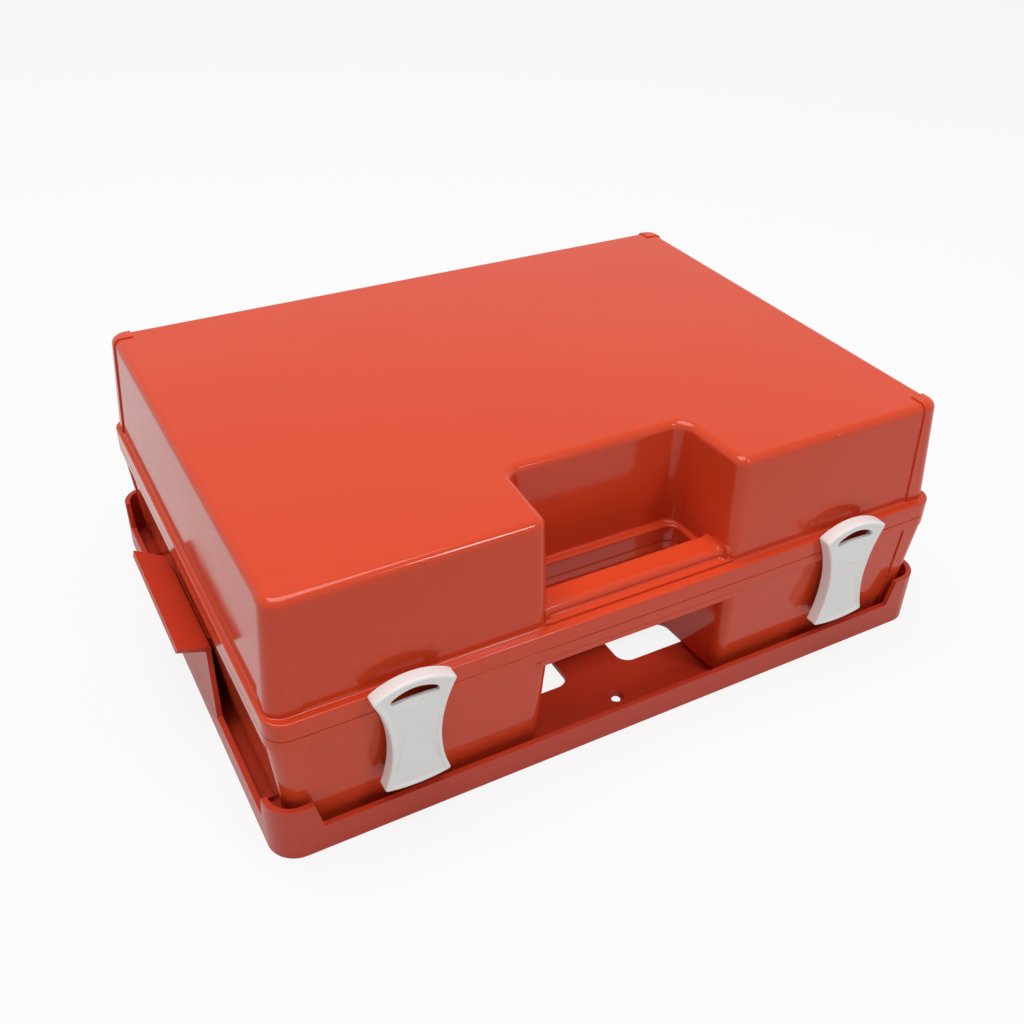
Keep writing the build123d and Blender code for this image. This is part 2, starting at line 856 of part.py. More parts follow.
with BuildPart() as lid_divider_right:
    add(divider_panel(divider_x, cover_top_z, ceiling_z - divider_clearance, lid_size))
lid_divider_right.part.label = "lid_divider_right"


# Clear cover that keeps the lid's contents in, with bays for the catches and a round finger hole
with BuildPart() as lid_cover:
    with BuildSketch(Plane.XY.offset(cover_z)):
        cover_size = inset(lid_size(cover_top_z), wall + cover_clearance)
        RectangleRounded(*cover_size, body_corner_r - wall)
        add(pocket_plan(cover_z, 0.0, wall + cover_clearance), mode=Mode.SUBTRACT)
        for side in (-1, 1):
            bay_inner = side * (catch_x - catch_length)
            bay_outer = side * (catch_x + catch_width)
            bay_back = catch_y + catch_width / 2 + cover_clearance
            with Locations(((bay_inner + bay_outer) / 2, (lid_wall_y + bay_back) / 2)):
                Rectangle(abs(bay_outer - bay_inner), bay_back - lid_wall_y, mode=Mode.SUBTRACT)
        with Locations((0, divider_y)):
            Circle(finger_hole_r, mode=Mode.SUBTRACT)
    extrude(amount=cover_thickness)
lid_cover.part.label = "lid_cover"


def lid_catch(side):
    """A turn catch under the cover's edge."""
    with BuildPart() as catch:
        with BuildSketch(Plane.XY.offset(catch_low_z)):
            with Locations((side * catch_x, catch_y)):
                Circle(catch_width / 2)
            with Locations((side * catch_x, catch_y + catch_arm / 2)):
                Rectangle(catch_width, catch_arm)
            with Locations((side * catch_x, catch_y + catch_arm)):
                Circle(catch_width / 2)
            with Locations((side * catch_x, catch_y)):
                Circle(catch_screw_r + pin_clearance, mode=Mode.SUBTRACT)
        extrude(amount=catch_thickness)
    return catch.part


with BuildPart() as lid_catch_left:
    add(lid_catch(-1))
lid_catch_left.part.label = "lid_catch_left"

with BuildPart() as lid_catch_right:
    add(lid_catch(1))
lid_catch_right.part.label = "lid_catch_right"

with BuildPart() as lid_catch_screws:
    head_top_z = catch_low_z - catch_head_room
    with BuildSketch(Plane.XY.offset(head_top_z - catch_head_height)):
        with Locations((-catch_x, catch_y), (catch_x, catch_y)):
            Circle(catch_head_r)
    extrude(amount=catch_head_height)
    with BuildSketch(Plane.XY.offset(head_top_z)):
        with Locations((-catch_x, catch_y), (catch_x, catch_y)):
            Circle(catch_screw_r)
    extrude(amount=post_end_z + catch_screw_length - head_top_z)
    with BuildSketch(Plane.XY.offset(head_top_z - catch_head_height)):
        for angle in (0, 90):
            with Locations((-catch_x, catch_y), (catch_x, catch_y)):
                Rectangle(catch_recess_length, catch_recess_width, rotation=angle)
    extrude(amount=catch_head_height / 2, mode=Mode.SUBTRACT)
lid_catch_screws.part.label = "lid_catch_screws"


# Wall bracket: plate with windows and screw holes, rim, corner posts, ribs and clip seats
def rim_cutter(horizontal, half_length, half_reach):
    """Everything above the rim between two corner posts of one pair of sides."""
    plane = Plane.XZ.offset(-half_reach) if horizontal else Plane.YZ.offset(-half_reach)
    low = half_length - post_slope
    with BuildPart() as cutter:
        with BuildSketch(plane) as outline:
            with BuildLine():
                Polyline(
                    (-half_length - 2 * post_slope, post_height),
                    (-half_length, post_height),
                    (-low, rim_height),
                    (low, rim_height),
                    (half_length, post_height),
                    (half_length + 2 * post_slope, post_height),
                    (half_length + 2 * post_slope, 2 * post_height),
                    (-half_length - 2 * post_slope, 2 * post_height),
                    close=True,
                )
            make_face()
            sharp = outline.vertices().filter_by(lambda v: abs(v.X) + abs(v.Y) < half_length + overrun)
            fillet(sharp, radius=post_corner_r)
        extrude(amount=2 * half_reach)
    return cutter.part


with BuildPart() as wall_bracket:
    with BuildSketch():
        RectangleRounded(bracket_length, bracket_width, bracket_corner_r)
    extrude(amount=post_height)
    with BuildSketch(Plane.XY.offset(plate_thickness)):
        inner_size = inset((bracket_length, bracket_width), bracket_wall)
        RectangleRounded(*inner_size, bracket_corner_r - bracket_wall)
    extrude(amount=post_height, mode=Mode.SUBTRACT)
    add(rim_cutter(True, bracket_length / 2 - post_length_x, bracket_width), mode=Mode.SUBTRACT)
    add(rim_cutter(False, bracket_width / 2 - post_length_y, bracket_length), mode=Mode.SUBTRACT)
    with BuildSketch(Plane.XY.offset(-overrun)):
        window_x = (window_inner_x + window_outer_x) / 2
        window_y = (window_inner_y + window_outer_y) / 2
        with GridLocations(2 * window_x, 2 * window_y, 2, 2):
            RectangleRounded(
                window_outer_x - window_inner_x,
                window_outer_y - window_inner_y,
                window_corner_r,
            )
    extrude(amount=plate_thickness + 2 * overrun, mode=Mode.SUBTRACT)
    with Locations((0, 0, plate_thickness)):
        with GridLocations(screw_x, 2 * screw_y, 3, 2):
            CounterSinkHole(screw_hole_r, screw_head_r)
    for side in (-1, 1):
        rib_inner = base_foot_size[0] / 2 + rib_clearance
        for y in (-rib_y, rib_y):
            x_span = sorted((side * rib_inner, side * (bracket_length / 2 - bracket_wall / 2)))
            add(box_between(x_span, (y - rib_width / 2, y + rib_width / 2), (plate_thickness / 2, rib_top_z)))
        rib_inner = base_foot_size[1] / 2 + rib_clearance
        for x in (-rib_x, rib_x):
            y_span = sorted((side * rib_inner, side * (bracket_width / 2 - bracket_wall / 2)))
            add(box_between((x - rib_width / 2, x + rib_width / 2), y_span, (plate_thickness / 2, rib_top_z)))
    for side in (-1, 1):
        x_span = sorted((side * (bracket_length / 2 - 2 * bracket_wall), side * bracket_length))
        reach_y = clip_root_half + clip_gap
        add(
            box_between(x_span, (-reach_y, reach_y), (clip_pivot_z, 2 * rim_height)),
            mode=Mode.SUBTRACT,
        )
        with BuildSketch(Plane.XZ.offset(-reach_y)):
            with Locations((side * clip_pivot_x, clip_pivot_z)):
                Circle(clip_bead_r + pin_clearance)
        extrude(amount=2 * reach_y, mode=Mode.SUBTRACT)
wall_bracket.part.label = "wall_bracket"


# A spring clip's outline as seen from its side of the case
with BuildPart() as clip_outline:
    tip_z = clip_fold_z + clip_tab_rise
    with BuildSketch(Plane.YZ.offset(-bracket_length)):
        with BuildLine():
            Polyline(
                (-clip_root_half, clip_pivot_z - 2 * clip_bead_r),
                (clip_root_half, clip_pivot_z - 2 * clip_bead_r),
                (clip_root_half, clip_pivot_z + clip_shoulder),
                (clip_fold_half, clip_fold_z - clip_thickness),
                (clip_tab_half, tip_z + overrun),
                (-clip_tab_half, tip_z + overrun),
                (-clip_fold_half, clip_fold_z - clip_thickness),
                (-clip_root_half, clip_pivot_z + clip_shoulder),
                close=True,
            )
        make_face()
    extrude(amount=bracket_length)

# The left spring clip: leaning arm with a flared tab, root bead, and lip over the base's lug
with BuildPart() as clip_model:
    root_outer = -bracket_length / 2
    root_inner = root_outer + clip_thickness
    tab_tip_x = root_inner + clip_lean - clip_tab_reach
    with BuildSketch(Plane.XZ.offset(-clip_root_half)) as clip_section:
        with BuildLine():
            Polyline(
                (root_outer, clip_pivot_z + clip_gap),
                (root_inner, clip_pivot_z + clip_gap),
                (root_inner + clip_lean, clip_fold_z),
                (tab_tip_x, tip_z),
                (tab_tip_x - clip_tab_taper, tip_z - clip_thickness),
                (root_outer + clip_lean, clip_fold_z - clip_thickness),
                close=True,
            )
        make_face()
        near_fold = clip_thickness + pin_clearance
        bend = clip_section.vertices().filter_by(lambda v: abs(v.Y - clip_fold_z) < near_fold)
        fillet(bend.filter_by(lambda v: v.X > root_outer), radius=clip_bend_r)
        with Locations((-clip_pivot_x, clip_pivot_z)):
            Circle(clip_bead_r)
    extrude(amount=2 * clip_root_half)
    lip_tip = -(lug_tip_x - clip_lip_overlap)
    lip_low_z = lug_top_z + clip_gap
    lip_root = root_inner + clip_lean / 2 - clip_thickness / 2
    lean_share = (lip_low_z - clip_pivot_z) / (clip_fold_z - clip_pivot_z)
    arm_face = root_inner + clip_lean * lean_share
    with BuildSketch(Plane.XZ.offset(-clip_lip_half)):
        with BuildLine():
            Polyline(
                (lip_root, lip_low_z),
                (lip_tip, lip_low_z),
                (lip_tip, lip_low_z + clip_lip_edge),
                (arm_face, lip_low_z + clip_lip_height),
                (lip_root, lip_low_z + clip_lip_height),
                close=True,
            )
        make_face()
    extrude(amount=2 * clip_lip_half)
    add(clip_outline.part, mode=Mode.INTERSECT)

with BuildPart() as bracket_clip_left:
    add(clip_model.part)
bracket_clip_left.part.label = "bracket_clip_left"

with BuildPart() as bracket_clip_right:
    add(mirror(clip_model.part, about=Plane.YZ))
bracket_clip_right.part.label = "bracket_clip_right"


os.makedirs("parts", exist_ok=True)
export_step(wall_bracket.part, "parts/wall_bracket.step")
export_step(bracket_clip_left.part, "parts/bracket_clip_left.step")
export_step(bracket_clip_right.part, "parts/bracket_clip_right.step")
export_step(base_shell.part, "parts/base_shell.step")
export_step(lid_shell.part, "parts/lid_shell.step")
export_step(lid_seal.part, "parts/lid_seal.step")
export_step(hinge_pin_left.part, "parts/hinge_pin_left.step")
export_step(hinge_pin_right.part, "parts/hinge_pin_right.step")
export_step(latch_pin_left.part, "parts/latch_pin_left.step")
export_step(latch_pin_right.part, "parts/latch_pin_right.step")
export_step(latch_left.part, "parts/latch_left.step")
export_step(latch_right.part, "parts/latch_right.step")
export_step(base_divider_left.part, "parts/base_divider_left.step")
export_step(base_divider_right.part, "parts/base_divider_right.step")
export_step(base_divider_middle.part, "parts/base_divider_middle.step")
export_step(lid_divider_left.part, "parts/lid_divider_left.step")
export_step(lid_divider_right.part, "parts/lid_divider_right.step")
export_step(lid_cover.part, "parts/lid_cover.step")
export_step(lid_catch_left.part, "parts/lid_catch_left.step")
export_step(lid_catch_right.part, "parts/lid_catch_right.step")
export_step(lid_catch_screws.part, "parts/lid_catch_screws.step")
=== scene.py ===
# %% [markdown]
# # A moulded first aid case in its wall bracket
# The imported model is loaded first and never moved. Everything that this file adds is placed
# in the same frame: metres, X along the long side, Y from the latches to the hinges, Z up.
# The two shells and the two latches are surfaces worked out with numpy. Gloss shows every
# facet, and a surface that comes from a formula can be as smooth as its gloss asks. All
# other pieces, such as the bracket, its clips and the dividers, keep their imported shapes.

import bpy
import math
import numpy as np
from mathutils import Matrix, Vector


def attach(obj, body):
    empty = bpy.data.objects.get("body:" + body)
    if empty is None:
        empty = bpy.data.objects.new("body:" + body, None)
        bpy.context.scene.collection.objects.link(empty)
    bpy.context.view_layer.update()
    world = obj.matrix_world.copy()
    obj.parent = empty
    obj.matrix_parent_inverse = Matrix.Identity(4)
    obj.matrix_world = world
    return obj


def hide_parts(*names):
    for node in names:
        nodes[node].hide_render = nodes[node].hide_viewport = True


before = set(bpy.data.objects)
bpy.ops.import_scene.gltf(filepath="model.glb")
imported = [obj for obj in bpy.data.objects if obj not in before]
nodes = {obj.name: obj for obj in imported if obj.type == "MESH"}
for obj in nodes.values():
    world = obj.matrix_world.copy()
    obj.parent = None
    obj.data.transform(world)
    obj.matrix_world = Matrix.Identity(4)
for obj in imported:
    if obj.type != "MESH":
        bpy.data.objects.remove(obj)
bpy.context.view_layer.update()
MM = 0.001

# %% [markdown]
# ## The camera
# The photo was taken from the front left and above. The camera's place, its direction and
# its small roll were found by fitting the case's corners to their pixels, so the outlines
# of the render and of the photo lie on each other.

# %% Camera
camera_place = np.array([-279.8, -501.7, 451.5]) * MM
camera_forward = np.array([0.408, 0.716, -0.566])
camera_roll = math.radians(1.682)
focal_pixels = 1133.5
principal_point = (516.3, 498.6)
frame_pixels = 1024
sensor_mm = 36.0

forward = camera_forward / np.linalg.norm(camera_forward)
level_right = np.cross(forward, (0, 0, 1))
level_right /= np.linalg.norm(level_right)
level_up = np.cross(level_right, forward)
right = math.cos(camera_roll) * level_right + math.sin(camera_roll) * level_up
up = -math.sin(camera_roll) * level_right + math.cos(camera_roll) * level_up

camera_data = bpy.data.cameras.new("camera")
camera_data.sensor_width = sensor_mm
camera_data.lens = focal_pixels / frame_pixels * sensor_mm
camera_data.shift_x = (frame_pixels / 2 - principal_point[0]) / frame_pixels
camera_data.shift_y = (principal_point[1] - frame_pixels / 2) / frame_pixels
camera_data.clip_start = 0.01
camera_data.clip_end = 100
camera = bpy.data.objects.new("camera", camera_data)
bpy.context.scene.collection.objects.link(camera)
turn = np.eye(4)
turn[:3, 0] = right
turn[:3, 1] = up
turn[:3, 2] = -forward
turn[:3, 3] = camera_place
camera.matrix_world = Matrix(turn.tolist())
bpy.context.scene.camera = camera
print("lens", round(camera_data.lens, 2), "mm")

# %% [markdown]
# ## Shader trees in code
# A shader tree is a set of nodes and the links between them. It can be drawn by hand or
# built in code. Code repeats exactly, so two small helpers make nodes and join their sockets.

# %% Node helpers
def node(tree, kind, place, **settings):
    """A shader node at a place in the editor, with its properties set."""
    made = tree.nodes.new(kind)
    made.location = place
    for key, value in settings.items():
        setattr(made, key, value)
    return made


def link(tree, start, end):
    """Joins an output socket to an input socket."""
    tree.links.new(start, end)


# %% [markdown]
# ## The room
# A product photo on white has a pale floor that fades into a pale room. The room is one
# gradient, near white at the horizon and grey overhead. The camera and the reflections see
# it at its full level, and what it sends onto the object is less than half of that, so a
# pale background doesn't wash out the colours.

# %% The room
bpy.context.scene.view_settings.view_transform = "Standard"

world = bpy.data.worlds.new("room")
bpy.context.scene.world = world
world.use_nodes = True
room = world.node_tree
room.nodes.clear()
direction = node(room, "ShaderNodeTexCoord", (-1000, 0))
split = node(room, "ShaderNodeSeparateXYZ", (-800, 0))
fade = node(room, "ShaderNodeValToRGB", (-600, 0))
horizon_grey = 0.88
overhead_grey = 0.45
fade.color_ramp.elements[0].position = 0.05
fade.color_ramp.elements[0].color = (horizon_grey, horizon_grey, horizon_grey, 1)
fade.color_ramp.elements[1].position = 0.75
fade.color_ramp.elements[1].color = (overhead_grey, overhead_grey, overhead_grey, 1)
path = node(room, "ShaderNodeLightPath", (-800, 400))
seen = node(room, "ShaderNodeMath", (-600, 400), operation="MAXIMUM")
seen_through = node(room, "ShaderNodeMath", (-400, 400), operation="MAXIMUM")
level = node(room, "ShaderNodeMapRange", (-200, 400))
ambient_level = 0.42
level.inputs["To Min"].default_value = ambient_level
level.inputs["To Max"].default_value = 1.0
background = node(room, "ShaderNodeBackground", (0, 0))
room_out = node(room, "ShaderNodeOutputWorld", (200, 0))
link(room, direction.outputs["Generated"], split.inputs[0])
link(room, split.outputs["Z"], fade.inputs["Fac"])
link(room, path.outputs["Is Camera Ray"], seen.inputs[0])
link(room, path.outputs["Is Glossy Ray"], seen.inputs[1])
link(room, seen.outputs[0], seen_through.inputs[0])
link(room, path.outputs["Is Transmission Ray"], seen_through.inputs[1])
link(room, seen_through.outputs[0], level.inputs["Value"])
link(room, fade.outputs["Color"], background.inputs["Color"])
link(room, level.outputs["Result"], background.inputs["Strength"])
link(room, background.outputs[0], room_out.inputs["Surface"])
print("room level", ambient_level, "for the object and 1 for the camera")

# %% [markdown]
# ## The lamps and the floor
# One wide, soft lamp from above gives the top its brighter colour and the floor a soft
# shadow. A small lamp from the front right puts the bright lines on the rounded edges. The
# floor is one large square just under the bracket.

# %% The lamps and the floor
def soft_lamp(name, place, target, size, power):
    """A square area lamp at a place in metres, turned towards a target."""
    data = bpy.data.lights.new(name, "AREA")
    data.shape = "SQUARE"
    data.size = size
    data.energy = power
    lamp = bpy.data.objects.new(name, data)
    bpy.context.scene.collection.objects.link(lamp)
    aim = Vector(target) - Vector(place)
    lamp.rotation_euler = aim.to_track_quat("-Z", "Y").to_euler()
    lamp.location = place


for name, place, target, size, power in (
    ("lamp_above", (-0.3, 0.1, 2.4), (0, 0, 0), 1.8, 51),
    ("lamp_edge", (0.65, -1.3, 1.6), (0, 0, 0.1), 0.28, 7),
):
    soft_lamp(name, place, target, size, power)
    print(name, power, "watts,", size, "metres wide")

floor_mesh = bpy.data.meshes.new("floor")
floor_half = 30.0
floor_drop = 0.0005
floor_mesh.from_pydata(
    [(-floor_half, -floor_half, 0), (floor_half, -floor_half, 0),
     (floor_half, floor_half, 0), (-floor_half, floor_half, 0)],
    [],
    [(0, 1, 2, 3)],
)
floor = bpy.data.objects.new("floor", floor_mesh)
floor.location = (0, 0, -floor_drop)
bpy.context.scene.collection.objects.link(floor)

# %% [markdown]
# ## The floor's material
# The floor is a matt surface that takes the object's shadow. Where the camera sees it, most
# of its light is an even white, and in a reflection a little less than half. So it fades
# into the room, the windows of the bracket look white, and only the dark of the shadow stays.

# %% Floor material
floor_white_share = 0.86
floor_mirror_share = 0.5
floor_material = bpy.data.materials.new("floor")
floor_material.use_nodes = True
floor_tree = floor_material.node_tree
floor_shader = floor_tree.nodes["Principled BSDF"]
floor_shader.inputs["Base Color"].default_value = (0.75, 0.75, 0.75, 1)
floor_shader.inputs["Roughness"].default_value = 0.9
floor_shader.inputs["Specular IOR Level"].default_value = 0.0
floor_white = node(floor_tree, "ShaderNodeEmission", (0, 200))
floor_white.inputs["Color"].default_value = (1, 1, 1, 1)
floor_white.inputs["Strength"].default_value = 1.0
floor_path = node(floor_tree, "ShaderNodeLightPath", (-800, 500))
floor_mirrored = node(floor_tree, "ShaderNodeMath", (-600, 250), operation="MULTIPLY")
floor_mirrored.inputs[1].default_value = floor_mirror_share
floor_seen = node(floor_tree, "ShaderNodeMath", (-400, 500), operation="MAXIMUM")
floor_through = node(floor_tree, "ShaderNodeMath", (-200, 500), operation="MAXIMUM")
floor_share = node(floor_tree, "ShaderNodeMath", (0, 500), operation="MULTIPLY")
floor_share.inputs[1].default_value = floor_white_share
floor_mix = node(floor_tree, "ShaderNodeMixShader", (300, 200))
floor_out = floor_tree.nodes["Material Output"]
link(floor_tree, floor_path.outputs["Is Camera Ray"], floor_seen.inputs[0])
link(floor_tree, floor_path.outputs["Is Glossy Ray"], floor_mirrored.inputs[0])
link(floor_tree, floor_mirrored.outputs[0], floor_seen.inputs[1])
link(floor_tree, floor_seen.outputs[0], floor_through.inputs[0])
link(floor_tree, floor_path.outputs["Is Transmission Ray"], floor_through.inputs[1])
link(floor_tree, floor_through.outputs[0], floor_share.inputs[0])
link(floor_tree, floor_share.outputs[0], floor_mix.inputs[0])
link(floor_tree, floor_shader.outputs[0], floor_mix.inputs[1])
link(floor_tree, floor_white.outputs[0], floor_mix.inputs[2])
link(floor_tree, floor_mix.outputs[0], floor_out.inputs["Surface"])
floor_mesh.materials.append(floor_material)
print("floor", floor_white_share, "white for the camera")

# %% [markdown]
# ## Plastics
# The case is smooth moulded plastic. Three things keep it from looking like a flat colour:
# the pigment is never quite even, the gloss changes a little from place to place, and the
# surface has both long, shallow waves from shrinking in the mould and a fine skin.
# All plastics need these, so they are one node group with its own values in each material.

# %% The moulded skin group
def moulded_skin_group():
    """Uneven pigment, uneven gloss, long waves and fine skin, from Object coordinates."""
    group = bpy.data.node_groups.new("moulded_skin", "ShaderNodeTree")
    for name, kind, value in (
        ("Colour", "NodeSocketColor", (0.8, 0.8, 0.8, 1)),
        ("Shade", "NodeSocketFloat", 0.06),
        ("Roughness", "NodeSocketFloat", 0.3),
        ("Roughness change", "NodeSocketFloat", 0.08),
        ("Wave size", "NodeSocketFloat", 18.0),
        ("Wave height", "NodeSocketFloat", 0.0004),
        ("Skin size", "NodeSocketFloat", 900.0),
        ("Skin height", "NodeSocketFloat", 0.00001),
    ):
        socket = group.interface.new_socket(name=name, in_out="INPUT", socket_type=kind)
        socket.default_value = value
    group.interface.new_socket(name="Colour", in_out="OUTPUT", socket_type="NodeSocketColor")
    group.interface.new_socket(name="Roughness", in_out="OUTPUT", socket_type="NodeSocketFloat")
    group.interface.new_socket(name="Normal", in_out="OUTPUT", socket_type="NodeSocketVector")
    given = node(group, "NodeGroupInput", (-1200, 0))
    result = node(group, "NodeGroupOutput", (800, 0))
    place = node(group, "ShaderNodeTexCoord", (-1200, 400))
    pigment = node(group, "ShaderNodeTexNoise", (-900, 400))
    pigment.inputs["Scale"].default_value = 9.0
    pigment.inputs["Detail"].default_value = 4.0
    centred = node(group, "ShaderNodeMath", (-700, 400), operation="SUBTRACT")
    centred.inputs[1].default_value = 0.5
    scaled = node(group, "ShaderNodeMath", (-500, 400), operation="MULTIPLY_ADD")
    scaled.inputs[2].default_value = 1.0
    tint = node(group, "ShaderNodeVectorMath", (-300, 400), operation="SCALE")
    gloss = node(group, "ShaderNodeTexNoise", (-900, 100))
    gloss.inputs["Scale"].default_value = 40.0
    gloss.inputs["Detail"].default_value = 3.0
    gloss_centred = node(group, "ShaderNodeMath", (-700, 100), operation="SUBTRACT")
    gloss_centred.inputs[1].default_value = 0.5
    gloss_level = node(group, "ShaderNodeMath", (-500, 100), operation="MULTIPLY_ADD")
    waves = node(group, "ShaderNodeTexNoise", (-900, -200))
    waves.inputs["Detail"].default_value = 1.0
    waves_height = node(group, "ShaderNodeMath", (-700, -200), operation="MULTIPLY")
    skin = node(group, "ShaderNodeTexNoise", (-900, -500))
    skin.inputs["Detail"].default_value = 2.0
    skin_height = node(group, "ShaderNodeMath", (-700, -500), operation="MULTIPLY")
    height = node(group, "ShaderNodeMath", (-500, -300), operation="ADD")
    bump = node(group, "ShaderNodeBump", (-300, -300))
    bump.inputs["Strength"].default_value = 1.0
    bump.inputs["Distance"].default_value = 1.0
    for texture in (pigment, gloss, waves, skin):
        link(group, place.outputs["Object"], texture.inputs["Vector"])
    link(group, given.outputs["Wave size"], waves.inputs["Scale"])
    link(group, given.outputs["Skin size"], skin.inputs["Scale"])
    link(group, pigment.outputs["Fac"], centred.inputs[0])
    link(group, centred.outputs[0], scaled.inputs[0])
    link(group, given.outputs["Shade"], scaled.inputs[1])
    link(group, given.outputs["Colour"], tint.inputs[0])
    link(group, scaled.outputs[0], tint.inputs["Scale"])
    link(group, gloss.outputs["Fac"], gloss_centred.inputs[0])
    link(group, gloss_centred.outputs[0], gloss_level.inputs[0])
    link(group, given.outputs["Roughness change"], gloss_level.inputs[1])
    link(group, given.outputs["Roughness"], gloss_level.inputs[2])
    link(group, waves.outputs["Fac"], waves_height.inputs[0])
    link(group, given.outputs["Wave height"], waves_height.inputs[1])
    link(group, skin.outputs["Fac"], skin_height.inputs[0])
    link(group, given.outputs["Skin height"], skin_height.inputs[1])
    link(group, waves_height.outputs[0], height.inputs[0])
    link(group, skin_height.outputs[0], height.inputs[1])
    link(group, height.outputs[0], bump.inputs["Height"])
    link(group, tint.outputs[0], result.inputs["Colour"])
    link(group, gloss_level.outputs[0], result.inputs["Roughness"])
    link(group, bump.outputs["Normal"], result.inputs["Normal"])
    return group


moulded_skin = moulded_skin_group()
print("moulded skin:", len(moulded_skin.nodes), "nodes")

# %% [markdown]
# ## One plastic from the group
# Every finish of this object uses the group, with its own numbers. The shader itself stays in
# the material. The group feeds its colour, roughness and normal, and a value that is the same
# everywhere, such as Transmission Weight, is set on the shader's own socket.

# %% A plastic from the group
plastic_ior = 1.5


def moulded_plastic(name, colour, values, settings=None):
    """A plastic whose colour, gloss and normal come from the moulded skin group."""
    material = bpy.data.materials.new(name)
    material.use_nodes = True
    tree = material.node_tree
    shader = tree.nodes["Principled BSDF"]
    skin = node(tree, "ShaderNodeGroup", (-300, 0), node_tree=moulded_skin)
    skin.inputs["Colour"].default_value = (*colour, 1)
    for key, value in values.items():
        skin.inputs[key].default_value = value
    link(tree, skin.outputs["Colour"], shader.inputs["Base Color"])
    link(tree, skin.outputs["Roughness"], shader.inputs["Roughness"])
    link(tree, skin.outputs["Normal"], shader.inputs["Normal"])
    shader.inputs["IOR"].default_value = plastic_ior
    for key, value in (settings or {}).items():
        shader.inputs[key].default_value = value
    return material


# %% [markdown]
# ## The finishes
# The case is a glossy orange red and the bracket a duller one of the same pigment. The
# latches are white with a fine matt grain, so their gloss is weak and broad. Inside are grey
# dividers, a clear cover, a black seal and plain steel pins. A wave height is in metres: a
# fifth of a millimetre over some centimetres is enough to bend a reflection.

# %% The materials of the case
case_plastic = moulded_plastic(
    "case_plastic",
    (0.67, 0.060, 0.018),
    {"Shade": 0.05, "Roughness": 0.11, "Roughness change": 0.05, "Wave height": 0.0002,
     "Skin height": 0.0000015},
    settings={"Specular IOR Level": 0.33},
)
bracket_plastic = moulded_plastic(
    "bracket_plastic",
    (0.57, 0.050, 0.02),
    {"Shade": 0.06, "Roughness": 0.3, "Roughness change": 0.1, "Wave height": 0.0001,
     "Skin height": 0.000006},
    settings={"Specular IOR Level": 0.33},
)
latch_plastic = moulded_plastic(
    "latch_plastic",
    (0.90, 0.90, 0.88),
    {"Shade": 0.03, "Roughness": 0.42, "Roughness change": 0.1, "Wave height": 0.00002,
     "Skin size": 1500.0, "Skin height": 0.00002},
)
divider_plastic = moulded_plastic(
    "divider_plastic",
    (0.72, 0.75, 0.77),
    {"Shade": 0.03, "Roughness": 0.35, "Roughness change": 0.1, "Wave height": 0.0001},
)
seal_rubber = moulded_plastic(
    "seal_rubber",
    (0.02, 0.02, 0.02),
    {"Shade": 0.2, "Roughness": 0.6, "Roughness change": 0.15, "Skin height": 0.00002},
)
clear_plastic = moulded_plastic(
    "clear_plastic",
    (0.93, 0.96, 0.97),
    {"Shade": 0.01, "Roughness": 0.06, "Roughness change": 0.04, "Wave height": 0.00005,
     "Skin height": 0.0000005},
    settings={"Transmission Weight": 0.9},
)
pin_steel = moulded_plastic(
    "pin_steel",
    (0.56, 0.56, 0.57),
    {"Shade": 0.08, "Roughness": 0.28, "Roughness change": 0.15, "Skin height": 0.00001},
    settings={"Metallic": 1.0},
)
print("materials", sorted(material.name for material in bpy.data.materials))

# %% [markdown]
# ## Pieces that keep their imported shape
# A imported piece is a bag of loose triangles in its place. Its shape stays. Modifiers weld
# the triangles, take the knife edge off every corner and make the gloss run evenly. A bevel
# as a modifier is better than one in the mesh here, because the piece itself stays untouched.

# %% Dress the pieces
weld_distance = 0.00001
soft_angle = math.radians(40)
plastic_edge = 0.0004
steel_edge = 0.0002


def finish_surface(thing, edge):
    """Smooth faces, with welded points, a small rounding on each sharp edge and even gloss."""
    thing.data.polygons.foreach_set("use_smooth", np.ones(len(thing.data.polygons), bool))
    weld = thing.modifiers.new("weld", "WELD")
    weld.merge_threshold = weld_distance
    bevel = thing.modifiers.new("edge", "BEVEL")
    bevel.width = edge
    bevel.segments = 2
    bevel.limit_method = "ANGLE"
    bevel.angle_limit = soft_angle
    bevel.use_clamp_overlap = True
    even = thing.modifiers.new("even", "WEIGHTED_NORMAL")
    even.keep_sharp = False


def dress(name, material):
    """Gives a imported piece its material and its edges."""
    thing = nodes[name]
    thing.data.materials.clear()
    thing.data.materials.append(material)
    finish_surface(thing, steel_edge if material is pin_steel else plastic_edge)


finishes = {
    "wall_bracket": bracket_plastic,
    "bracket_clip_left": bracket_plastic,
    "bracket_clip_right": bracket_plastic,
    "lid_seal": seal_rubber,
    "hinge_pin_left": pin_steel,
    "hinge_pin_right": pin_steel,
    "latch_pin_left": pin_steel,
    "latch_pin_right": pin_steel,
    "base_divider_left": divider_plastic,
    "base_divider_right": divider_plastic,
    "base_divider_middle": divider_plastic,
    "lid_divider_left": divider_plastic,
    "lid_divider_right": divider_plastic,
    "lid_cover": clear_plastic,
    "lid_catch_left": latch_plastic,
    "lid_catch_right": latch_plastic,
    "lid_catch_screws": pin_steel,
}
for name, material in finishes.items():
    dress(name, material)
print("dressed", len(finishes), "pieces")

# %% [markdown]
# ## Surfaces from formulas
# A moulded shell has no sharp edge anywhere, and its gloss shows how every edge is rounded.
# So both shells and the latches are made here as new surfaces: closed outlines that all have
# the same number of points are stacked level by level, and four-sided faces join each level
# to the next. Rounding an edge is then only a matter of moving the outline inwards by
# r - r cos(a) while its level rises by r sin(a).

# %% Outlines with rounded corners
corner_points = 11
sharpest_r = 0.05


